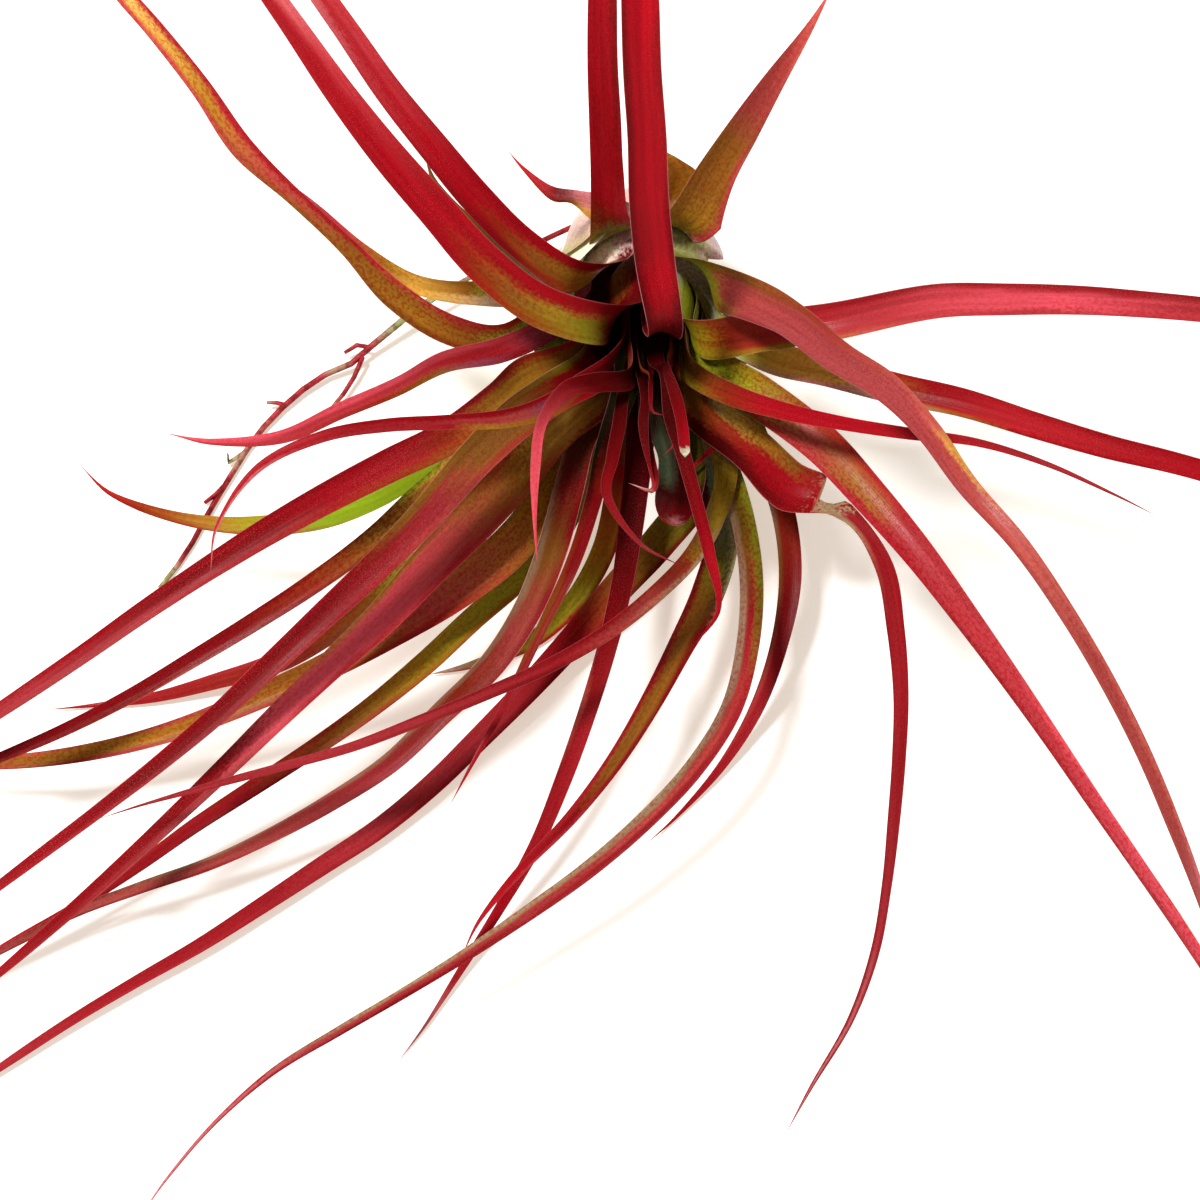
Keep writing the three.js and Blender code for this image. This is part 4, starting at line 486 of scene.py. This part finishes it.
def place_camera():
    """Looks down at the heart from the viewer's side."""
    to_viewer = Vector((0, -math.cos(VIEW_RISE), math.sin(VIEW_RISE)))
    view_up = Vector((0, math.sin(VIEW_RISE), math.cos(VIEW_RISE)))
    sideways = Vector((VIEW_CENTRE[0], 0, 0))
    camera_data = bpy.data.cameras.new("camera")
    camera_data.sensor_width = SENSOR
    camera_data.lens = SENSOR * VIEW_DISTANCE / VIEW_WIDTH
    camera_data.clip_start = NEAREST_SEEN
    camera = bpy.data.objects.new("camera", camera_data)
    bpy.context.scene.collection.objects.link(camera)
    camera.location = HEART + to_viewer * VIEW_DISTANCE + sideways + view_up * VIEW_CENTRE[1]
    camera.rotation_euler = (math.pi / 2 - VIEW_RISE, 0, 0)
    bpy.context.scene.camera = camera


def centre_of(verts):
    """The middle of some vertices."""
    return sum((v.co for v in verts), Vector()) / len(verts)


def leaf_rings(node):
    """The solid leaf's points from base to tip, as [ring, column, 3], on its upper and its lower face."""
    bm = bmesh.new()
    bm.from_mesh(frame["nodes"][node].data)
    bmesh.ops.remove_doubles(bm, verts=bm.verts, dist=SAME_PLACE)
    layers = next(found for found in map(layers_from, bm.verts) if found)
    layers = layers[::-1]
    upper = []
    lower = []
    for i, layer in enumerate(layers[:-1]):
        left, way_a, way_b = split_ring(layers, i)
        right = way_a.pop()
        way_b.pop()
        onward = centre_of(layers[i + 1]) - centre_of(layer)
        inner = (right.co - left.co).cross(onward)
        if (centre_of(way_a) - centre_of(way_b)).dot(inner) < 0:
            way_a, way_b = way_b, way_a
        upper.append([v.co[:] for v in [left, *way_a, right]])
        lower.append([v.co[:] for v in [left, *way_b, right]])
    tip = layers[-1][0].co[:]
    upper.append([tip] * len(COARSE_COLUMNS))
    lower.append([tip] * len(COARSE_COLUMNS))
    bm.free()
    return np.array(upper), np.array(lower)


def layers_from(start):
    """The vertices in rings round the leaf, counted from its tip, or None if start isn't the tip."""
    if len(start.link_edges) != RING_POINTS:
        return None
    seen = {start}
    layers = [[start]]
    while True:
        found = []
        for vert in layers[-1]:
            for edge in vert.link_edges:
                other = edge.other_vert(vert)
                if other not in seen:
                    seen.add(other)
                    found.append(other)
        if not found:
            return layers
        if len(found) != RING_POINTS:
            return None
        layers.append(found)


def split_ring(layers, index):
    """The left margin of a ring and its two ways round to the right margin."""
    layer = set(layers[index])
    tipward = set(layers[index + 1])
    baseward = set(layers[index - 1]) if index else set()
    beside = tipward | baseward
    next_to = {v: set() for v in layer}
    for vert in layer:
        for edge in vert.link_edges:
            other = edge.other_vert(vert)
            if other in layer and any(beside & set(face.verts) for face in edge.link_faces):
                next_to[vert].add(other)

    def links(vert, group):
        return sum(edge.other_vert(vert) in group for edge in vert.link_edges)

    if index:
        left = min(layer, key=lambda v: links(v, baseward))
    else:
        left = max(layer, key=lambda v: links(v, tipward))
    ways = []
    for first in next_to[left]:
        way = [left, first]
        while len(way) < len(COARSE_COLUMNS):
            way.append(next(v for v in next_to[way[-1]] if v not in way))
        ways.append(way[1:])
    return left, ways[0], ways[1]


def smooth_rows(rows, spacing):
    """Finer rows on smooth curves through the rows, each one's share of the length, and the length."""
    centre = rows.mean(axis=1)
    steps = np.linalg.norm(np.diff(centre, axis=0), axis=1)
    knots = np.concatenate([[0], np.cumsum(np.maximum(steps, SAME_PLACE))])
    slopes = np.empty_like(rows)
    for i in range(len(rows)):
        before = max(i - 1, 0)
        after = min(i + 1, len(rows) - 1)
        slopes[i] = (rows[after] - rows[before]) / (knots[after] - knots[before])
    count = max(FEWEST_RINGS, int(round(knots[-1] / spacing)))
    places = np.linspace(0, knots[-1], count + 1)
    index = np.clip(np.searchsorted(knots, places, side="right") - 1, 0, len(knots) - 2)
    span = (knots[index + 1] - knots[index])[:, None, None]
    t = (places - knots[index])[:, None, None] / span
    fine = (2 * t ** 3 - 3 * t ** 2 + 1) * rows[index] + (t ** 3 - 2 * t ** 2 + t) * span * slopes[index]
    fine += (3 * t ** 2 - 2 * t ** 3) * rows[index + 1] + (t ** 3 - t ** 2) * span * slopes[index + 1]
    return fine, places / knots[-1], knots[-1]


def spread_columns(rows, columns):
    """Points at those columns, on the one curve through each row's coarse points."""
    weights = np.ones((len(columns), len(COARSE_COLUMNS)))
    for j, at in enumerate(COARSE_COLUMNS):
        for k, other in enumerate(COARSE_COLUMNS):
            if k != j:
                weights[:, j] *= (columns - other) / (at - other)
    return np.einsum("cj,rjx->rcx", weights, rows)


def deepen_channel(along, columns, upper, lower):
    """Moves the blade further from the straight line between its margins, and leaves the sheath as it is."""
    share = (columns[None, :, None] + 1) / 2
    chord = upper[:, :1] * (1 - share) + upper[:, -1:] * share
    free = np.clip((along - SHEATH_SHARE) / SHEATH_SHARE, 0, 1)[:, None, None]
    deeper = CHANNEL_DEEPER * free * ((upper + lower) / 2 - chord)
    upper += deeper
    lower += deeper


def reshape(node, along, upper, lower):
    """Widens and narrows the leaf as its rows in FORMS say."""
    if node not in FORMS:
        return
    shares, widths, leans = np.array(FORMS[node]).T
    factor = np.interp(along, shares, widths)[:, None, None]
    lean = np.interp(along, shares, leans)[:, None, None]
    left = upper[:, :1].copy()
    right = upper[:, -1:].copy()
    fixed = (left + right) / 2 + lean * (right - left) / 2
    for face in (upper, lower):
        face[:] = fixed + (face - fixed) * factor


def leaf_faces(rings, size):
    """The faces round the leaf, those that close its tip, and those that close its base."""
    faces = []
    for i in range(rings - 1):
        for j in range(size):
            a = i * size + j
            b = i * size + (j + 1) % size
            faces.append((a, b, b + size, a + size))
    tip = rings * size
    for j in range(size):
        faces.append(((rings - 1) * size + j, (rings - 1) * size + (j + 1) % size, tip))
    for j in range(STRIPS):
        corners = [j + 1, j, (size - j) % size, size - j - 1]
        if j == STRIPS - 1:
            corners.pop()
        faces.append(tuple(dict.fromkeys(corners)))
    return faces


def add_leaf_map(mesh, across, along, width, length):
    """A flat map of the leaf at its real proportions, which its patterns follow."""
    flat = np.stack([0.5 + 0.5 * across * width / MAP_WIDTH, along * length / MAP_LENGTH], axis=1)
    corners = np.empty(len(mesh.loops), np.int32)
    mesh.loops.foreach_get("vertex_index", corners)
    mesh.uv_layers.new(name="leaf").data.foreach_set("uv", flat[corners].astype(np.float32).ravel())


def smooth_object(name, mesh):
    """Puts a mesh into the scene as one piece, shaded smoothly."""
    mesh.polygons.foreach_set("use_smooth", [True] * len(mesh.polygons))
    piece = bpy.data.objects.new(name, mesh)
    bpy.context.scene.collection.objects.link(piece)
    return piece


def fine_leaf(node):
    """The leaf drawn finely on its solid, with each point's place along it, across it and on which face."""
    coarse_upper, coarse_lower = leaf_rings(node)
    both, along, length = smooth_rows(np.concatenate([coarse_upper, coarse_lower], axis=1), RING_SPACING)
    columns = np.sin(np.linspace(-math.pi / 2, math.pi / 2, STRIPS + 1))
    upper = spread_columns(both[:, :len(COARSE_COLUMNS)], columns)
    lower = spread_columns(both[:, len(COARSE_COLUMNS):], columns)
    deepen_channel(along, columns, upper, lower)
    reshape(node, along, upper, lower)

    # Each ring runs over the upper face from left to right and back under the lower one. side is 1 on the
    # upper face, 0.5 at the margins and 0 on the lower face.
    rings = len(along) - 1
    ring = np.concatenate([upper[:rings], lower[:rings, STRIPS - 1:0:-1]], axis=1)
    size = ring.shape[1]
    across = np.concatenate([columns, columns[STRIPS - 1:0:-1]])
    side = np.concatenate([[0.5], np.ones(STRIPS - 1), [0.5], np.zeros(STRIPS - 1)])
    points = np.concatenate([ring.reshape(-1, 3), both[-1:, 0]])
    mesh = bpy.data.meshes.new(node + "_leaf")
    mesh.from_pydata(points.tolist(), [], leaf_faces(rings, size))
    mesh.validate()
    places = {
        "along": np.append(np.repeat(along[:rings], size), 1),
        "across": np.append(np.tile(across, rings), 0),
        "side": np.append(np.tile(side, rings), 0.5),
    }
    for name, values in places.items():
        mesh.attributes.new(name, "FLOAT", "POINT").data.foreach_set("value", values.astype(np.float32))
    width = np.append(np.repeat(np.linalg.norm(ring[:, STRIPS] - ring[:, 0], axis=1), size), 0)
    add_leaf_map(mesh, places["across"], places["along"], width, length)
    return smooth_object(node + "_leaf", mesh)


def fine_root(node):
    """The stem and root as their solid has them, with the wiry part a little fatter."""
    mesh = bpy.data.meshes.new("fine_" + node)
    bm = bmesh.new()
    bm.from_mesh(bpy.data.objects[node].data)
    bmesh.ops.remove_doubles(bm, verts=bm.verts, dist=SAME_PLACE)
    bm.normal_update()
    for vert in bm.verts:
        if vert.co.x < ROOT_FROM_X:
            vert.co += ROOT_FATTER * vert.normal
    bm.to_mesh(mesh)
    bm.free()
    return smooth_object("fine_" + node, mesh)


def node_group(name, inputs, outputs):
    """An empty shader node group, with the sockets that its inside reads and feeds."""
    tree = bpy.data.node_groups.new(name, "ShaderNodeTree")
    for label, kind, value in inputs:
        tree.interface.new_socket(label, in_out="INPUT", socket_type=kind).default_value = value
    for label, kind in outputs:
        tree.interface.new_socket(label, in_out="OUTPUT", socket_type=kind)
    return tree, tree.nodes.new("NodeGroupInput").outputs, tree.nodes.new("NodeGroupOutput").inputs


def fill(tree, socket, value):
    """Feeds a socket from another socket, or sets it to a number or colour."""
    if isinstance(value, bpy.types.NodeSocket):
        tree.links.new(value, socket)
    elif isinstance(value, tuple) and len(value) == 3 and socket.type == "RGBA":
        socket.default_value = (*value, 1)
    else:
        socket.default_value = value


def maths(tree, operation, *values):
    """The result of a sum with sockets and numbers."""
    node = tree.nodes.new("ShaderNodeMath")
    node.operation = operation
    for socket, value in zip(node.inputs, values):
        fill(tree, socket, value)
    return node.outputs[0]


def ease(tree, value, low, high, to_low=0.0, to_high=1.0):
    """Goes smoothly from to_low to to_high while the value goes from low to high."""
    node = tree.nodes.new("ShaderNodeMapRange")
    node.interpolation_type = "SMOOTHSTEP"
    numbers = {"Value": value, "From Min": low, "From Max": high, "To Min": to_low, "To Max": to_high}
    for label, number in numbers.items():
        fill(tree, node.inputs[label], number)
    return node.outputs["Result"]


def blend(tree, share, first, second, kind="MIX"):
    """Lays the second colour over the first by a share from 0 to 1."""
    node = tree.nodes.new("ShaderNodeMix")
    node.data_type = "RGBA"
    node.blend_type = kind

    # Its sockets for colours share their names with others, so they are taken by their numbers
    for socket, value in ((node.inputs[0], share), (node.inputs[6], first), (node.inputs[7], second)):
        fill(tree, socket, value)
    return node.outputs[2]


def attribute(tree, name):
    """A value that the piece keeps at each of its points."""
    node = tree.nodes.new("ShaderNodeAttribute")
    node.attribute_name = name
    return node.outputs["Fac"]


def noise(tree, vector, changes, detail=2.0, roughness=0.5):
    """Noise from 0 to 1, with the number of its changes in one unit of each direction of the vector."""
    stretch = tree.nodes.new("ShaderNodeMapping")
    stretch.inputs["Scale"].default_value = changes
    tree.links.new(vector, stretch.inputs["Vector"])
    node = tree.nodes.new("ShaderNodeTexNoise")
    node.inputs["Scale"].default_value = 1.0
    node.inputs["Detail"].default_value = detail
    node.inputs["Roughness"].default_value = roughness
    tree.links.new(stretch.outputs["Vector"], node.inputs["Vector"])
    return node.outputs["Fac"]


def swing(tree, value, reach):
    """Turns a value from 0 to 1 into one from -reach to reach."""
    return maths(tree, "MULTIPLY_ADD", value, 2 * reach, -reach)


def relief(tree, height, strength, distance):
    """The normal of a surface with that relief."""
    bump = tree.nodes.new("ShaderNodeBump")
    bump.inputs["Strength"].default_value = strength
    bump.inputs["Distance"].default_value = distance
    fill(tree, bump.inputs["Height"], height)
    return bump.outputs["Normal"]


def leaf_pattern_group():
    """Where a point is on its leaf, and the patterns that follow the leaf's length."""
    outputs = ("Along", "Across", "Upper", "Streaks", "Specks", "Scales")
    tree, given, out = node_group(
        "leaf_pattern", [("Seed", "NodeSocketFloat", 0.0), ("Breakup", "NodeSocketFloat", BREAKUP)],
        [(label, "NodeSocketFloat") for label in outputs])
    place = tree.nodes.new("ShaderNodeUVMap")
    place.uv_map = "leaf"
    parts = tree.nodes.new("ShaderNodeSeparateXYZ")
    tree.links.new(place.outputs["UV"], parts.inputs[0])
    side = attribute(tree, "side")
    millimetres = tree.nodes.new("ShaderNodeCombineXYZ")
    fill(tree, millimetres.inputs["X"], maths(tree, "MULTIPLY", parts.outputs["X"], 1000 * MAP_WIDTH))
    fill(tree, millimetres.inputs["Y"], maths(tree, "MULTIPLY", parts.outputs["Y"], 1000 * MAP_LENGTH))
    fill(tree, millimetres.inputs["Z"], maths(tree, "MULTIPLY_ADD", side, FACE_STEP, given["Seed"]))
    vector = millimetres.outputs[0]

    # Spots on broad clouds move the colours along the leaf, so that one colour breaks up into the next
    clouds = noise(tree, vector, CLOUDS, detail=4, roughness=0.65)
    spots = noise(tree, vector, SPOTS, detail=2, roughness=0.6)
    cloudy = maths(tree, "MULTIPLY_ADD", clouds, CLOUDS_COUNT, -(SPOTS_COUNT + CLOUDS_COUNT) / 2)
    stipple = maths(tree, "MULTIPLY_ADD", spots, SPOTS_COUNT, cloudy)
    shift = maths(tree, "MULTIPLY", stipple, given["Breakup"])
    fill(tree, out["Along"], maths(tree, "ADD", attribute(tree, "along"), shift))

    # The margins' colours wander in and out
    wander = swing(tree, noise(tree, vector, WAVES, detail=3), WAVES_REACH)
    wander = maths(tree, "ADD", wander, swing(tree, spots, SPOTS_REACH))
    fill(tree, out["Across"], maths(tree, "ADD", attribute(tree, "across"), wander))
    fill(tree, out["Upper"], ease(tree, side, low=0.35, high=0.65))
    fill(tree, out["Streaks"], noise(tree, vector, STREAKS, detail=4, roughness=0.6))
    fill(tree, out["Specks"], ease(tree, spots, low=0.45, high=0.6))

    # Scales stand in patches, and only above the sheath
    grains = ease(tree, noise(tree, vector, GRAINS, detail=1), low=0.54, high=0.68)
    patches = ease(tree, noise(tree, vector, PATCHES, detail=2), low=0.35, high=0.65, to_low=0.35)
    blade = ease(tree, attribute(tree, "along"), low=0.18, high=0.28)
    fill(tree, out["Scales"], maths(tree, "MULTIPLY", maths(tree, "MULTIPLY", grains, patches), blade))
    return tree


def leaf_skin_group():
    """The finished colour, roughness and relief of a leaf from its middle, margin and underside colours."""
    colours = {"Middle": RED, "Left": RED, "Right": RED, "Back": BROWN_RED}
    numbers = {
        "Across": 0.0, "Upper": 1.0, "Streaks": 0.5, "Specks": 0.0, "Scales": 0.0, "Along": 0.5,
        "Rim": 0.3, "Margins": 0.75, "Lean": 0.0, "Speckled": 0.5, "Silvery": 0.3, "Rough": 0.4,
    }
    tree, given, out = node_group(
        "leaf_skin",
        [(label, "NodeSocketColor", (*value, 1)) for label, value in colours.items()]
        + [(label, "NodeSocketFloat", value) for label, value in numbers.items()],
        [("Color", "NodeSocketColor"), ("Roughness", "NodeSocketFloat"), ("Normal", "NodeSocketVector")])

    # The middle goes over into the margins
    place = maths(tree, "ADD", given["Across"], given["Lean"])
    start = maths(tree, "SUBTRACT", given["Margins"], MARGIN_INSIDE)
    end = maths(tree, "ADD", given["Margins"], MARGIN_OUTSIDE)
    colour = blend(tree, ease(tree, place, start, end), given["Middle"], given["Right"])
    colour = blend(tree, ease(tree, maths(tree, "MULTIPLY", place, -1.0), start, end), colour, given["Left"])

    # Speckles, fine lines, the pale rim and silvery scales lie over the colours
    speckled = maths(tree, "MULTIPLY", given["Specks"], given["Speckled"])
    colour = blend(tree, maths(tree, "MULTIPLY", speckled, SPECK_SHARE), colour, SPECK_TINT, "MULTIPLY")
    lined = ease(tree, given["Streaks"], low=0.35, high=0.65, to_high=STREAK_SHARE)
    colour = blend(tree, lined, colour, STREAK_TINT, "MULTIPLY")
    rim = ease(tree, maths(tree, "ABSOLUTE", attribute(tree, "across")), low=0.955, high=0.99)
    colour = blend(tree, maths(tree, "MULTIPLY", rim, given["Rim"]), colour, PINK)
    silver = maths(tree, "MULTIPLY", given["Scales"], given["Silvery"])
    colour = blend(tree, maths(tree, "MULTIPLY", silver, SILVER_SHARE), colour, SILVER)

    # The underside keeps its own colour and more scales, above the sheath
    blade = ease(tree, given["Along"], low=0.2, high=0.28)
    under = blend(tree, maths(tree, "MULTIPLY", blade, BACK_SHARE), colour, given["Back"])
    under = blend(tree, maths(tree, "MULTIPLY", given["Scales"], BACK_SCALES_SHARE), under, GREY_TAN)
    fill(tree, out["Color"], blend(tree, given["Upper"], under, colour))
    smoothest = maths(tree, "SUBTRACT", given["Rough"], STREAK_ROUGHER)
    rough = maths(tree, "MULTIPLY_ADD", given["Streaks"], 2 * STREAK_ROUGHER, smoothest)
    fill(tree, out["Roughness"], maths(tree, "MULTIPLY_ADD", silver, -SILVER_SMOOTHER, rough))
    height = maths(tree, "MULTIPLY_ADD", given["Scales"], SCALE_HEIGHT, given["Streaks"])
    fill(tree, out["Normal"], relief(tree, height, strength=0.5, distance=0.0003))
    return tree


def ramp(tree, place, stops, light_and_tone):
    """The colour at a place on a row of stops, made lighter or darker by the tone, which also paints light
    and shade.
    """
    node = tree.nodes.new("ShaderNodeValToRGB")
    elements = node.color_ramp.elements
    while len(elements) < len(stops):
        elements.new(0.5)
    for element, (position, colour) in zip(elements, stops):
        element.position = position
        element.color = (*(min(light_and_tone * channel, LIGHTEST) for channel in colour), 1)
    tree.links.new(place, node.inputs["Fac"])
    return node.outputs["Color"]


def new_material(name):
    """An empty material and its shader."""
    material = bpy.data.materials.new(name)
    material.use_nodes = True
    return material, material.node_tree.nodes["Principled BSDF"]


def leaf_material(name, seed, pattern_group, skin_group):
    """The leaf's own colours and values, with its painted light and shade, on the pattern and the skin that
    all leaves share.
    """
    look = {**PLAIN, **LOOKS[name]}
    material, shader = new_material(name)
    tree = material.node_tree
    pattern = tree.nodes.new("ShaderNodeGroup")
    pattern.node_tree = pattern_group
    pattern.inputs["Seed"].default_value = seed
    skin = tree.nodes.new("ShaderNodeGroup")
    skin.node_tree = skin_group
    for label in ("Along", "Across", "Upper", "Streaks", "Specks", "Scales"):
        fill(tree, skin.inputs[label], pattern.outputs[label])
    for label in ("Middle", "Left", "Right"):
        stops = look[label.lower()] or look["middle"]
        fill(tree, skin.inputs[label], ramp(tree, pattern.outputs["Along"], stops, look["light_and_tone"]))
    skin.inputs["Back"].default_value = (*look["back"], 1)
    values = {
        "Margins": "margins", "Lean": "lean", "Speckled": "specks",
        "Silvery": "scales", "Rough": "rough", "Rim": "rim",
    }
    for label, key in values.items():
        skin.inputs[label].default_value = look[key]
    fill(tree, shader.inputs["Base Color"], skin.outputs["Color"])
    fill(tree, shader.inputs["Roughness"], skin.outputs["Roughness"])
    fill(tree, shader.inputs["Normal"], skin.outputs["Normal"])
    shader.inputs["Specular IOR Level"].default_value = look["shine"]
    return material


def root_material():
    """The stem and root go from red over tan to pale green, with brown scars."""
    material, shader = new_material("stem_and_root")
    tree = material.node_tree
    place = tree.nodes.new("ShaderNodeTexCoord").outputs["Object"]
    colours = ramp(tree, noise(tree, place, ROOT_CHANGES, detail=1), ROOT_COLOURS, 1.0)
    scars = ease(tree, noise(tree, place, SCAR_CHANGES, detail=3), low=0.45, high=0.62, to_high=0.7)
    fill(tree, shader.inputs["Base Color"], blend(tree, scars, colours, SCAR_TINT, "MULTIPLY"))
    fill(tree, shader.inputs["Roughness"], ease(tree, scars, low=0.0, high=0.7, to_low=0.45, to_high=0.7))
    fill(tree, shader.inputs["Normal"], relief(tree, scars, strength=0.6, distance=0.0002))
    shader.inputs["Specular IOR Level"].default_value = ROOT_SHINE
    return material


def lay_floor():
    """The pale surface that the plant lies on."""
    mesh = bpy.data.meshes.new("floor")
    corners = [(-1, -1), (1, -1), (1, 1), (-1, 1)]
    mesh.from_pydata([(FLOOR_REACH * x, FLOOR_REACH * y, 0) for x, y in corners], [], [(0, 1, 2, 3)])
    floor = bpy.data.objects.new("floor", mesh)
    bpy.context.scene.collection.objects.link(floor)
    material, shader = new_material("pale_floor")
    shader.inputs["Base Color"].default_value = FLOOR_GREY
    shader.inputs["Specular IOR Level"].default_value = 0.0
    shader.inputs["Emission Color"].default_value = FLOOR_GLOW
    shader.inputs["Emission Strength"].default_value = FLOOR_GLOW_STRENGTH
    mesh.materials.append(material)
    return floor


def light_studio():
    """Soft white light from all round, and one key light from above on the left."""
    world = bpy.data.worlds.new("studio")
    bpy.context.scene.world = world
    world.use_nodes = True
    tree = world.node_tree
    background = tree.nodes["Background"]
    background.inputs["Color"].default_value = (1, 1, 1, 1)
    seen_in_gloss = tree.nodes.new("ShaderNodeLightPath").outputs["Is Glossy Ray"]
    strength = ease(tree, seen_in_gloss, low=0.0, high=1.0, to_low=WORLD_LIGHT, to_high=WORLD_GLOSS)
    fill(tree, background.inputs["Strength"], strength)
    light_data = bpy.data.lights.new("key", "AREA")
    light_data.size = KEY_SIZE
    light_data.energy = KEY_WATTS
    light = bpy.data.objects.new("key", light_data)
    bpy.context.scene.collection.objects.link(light)
    light.location = KEY_PLACE
    light.rotation_euler = (HEART - light.location).to_track_quat("-Z", "Y").to_euler()


place_camera()

pattern_group = leaf_pattern_group()
skin_group = leaf_skin_group()
for index, node in enumerate(sorted(LOOKS)):
    piece = fine_leaf(node)
    piece.data.materials.append(leaf_material(node, SEED_STEP * index, pattern_group, skin_group))
    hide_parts(node)
    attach(piece, "root")

root = fine_root("stem_and_root")
root.data.materials.append(root_material())
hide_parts("stem_and_root")
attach(root, "root")

floor = lay_floor()
light_studio()
bpy.context.scene.view_settings.view_transform = "Standard"
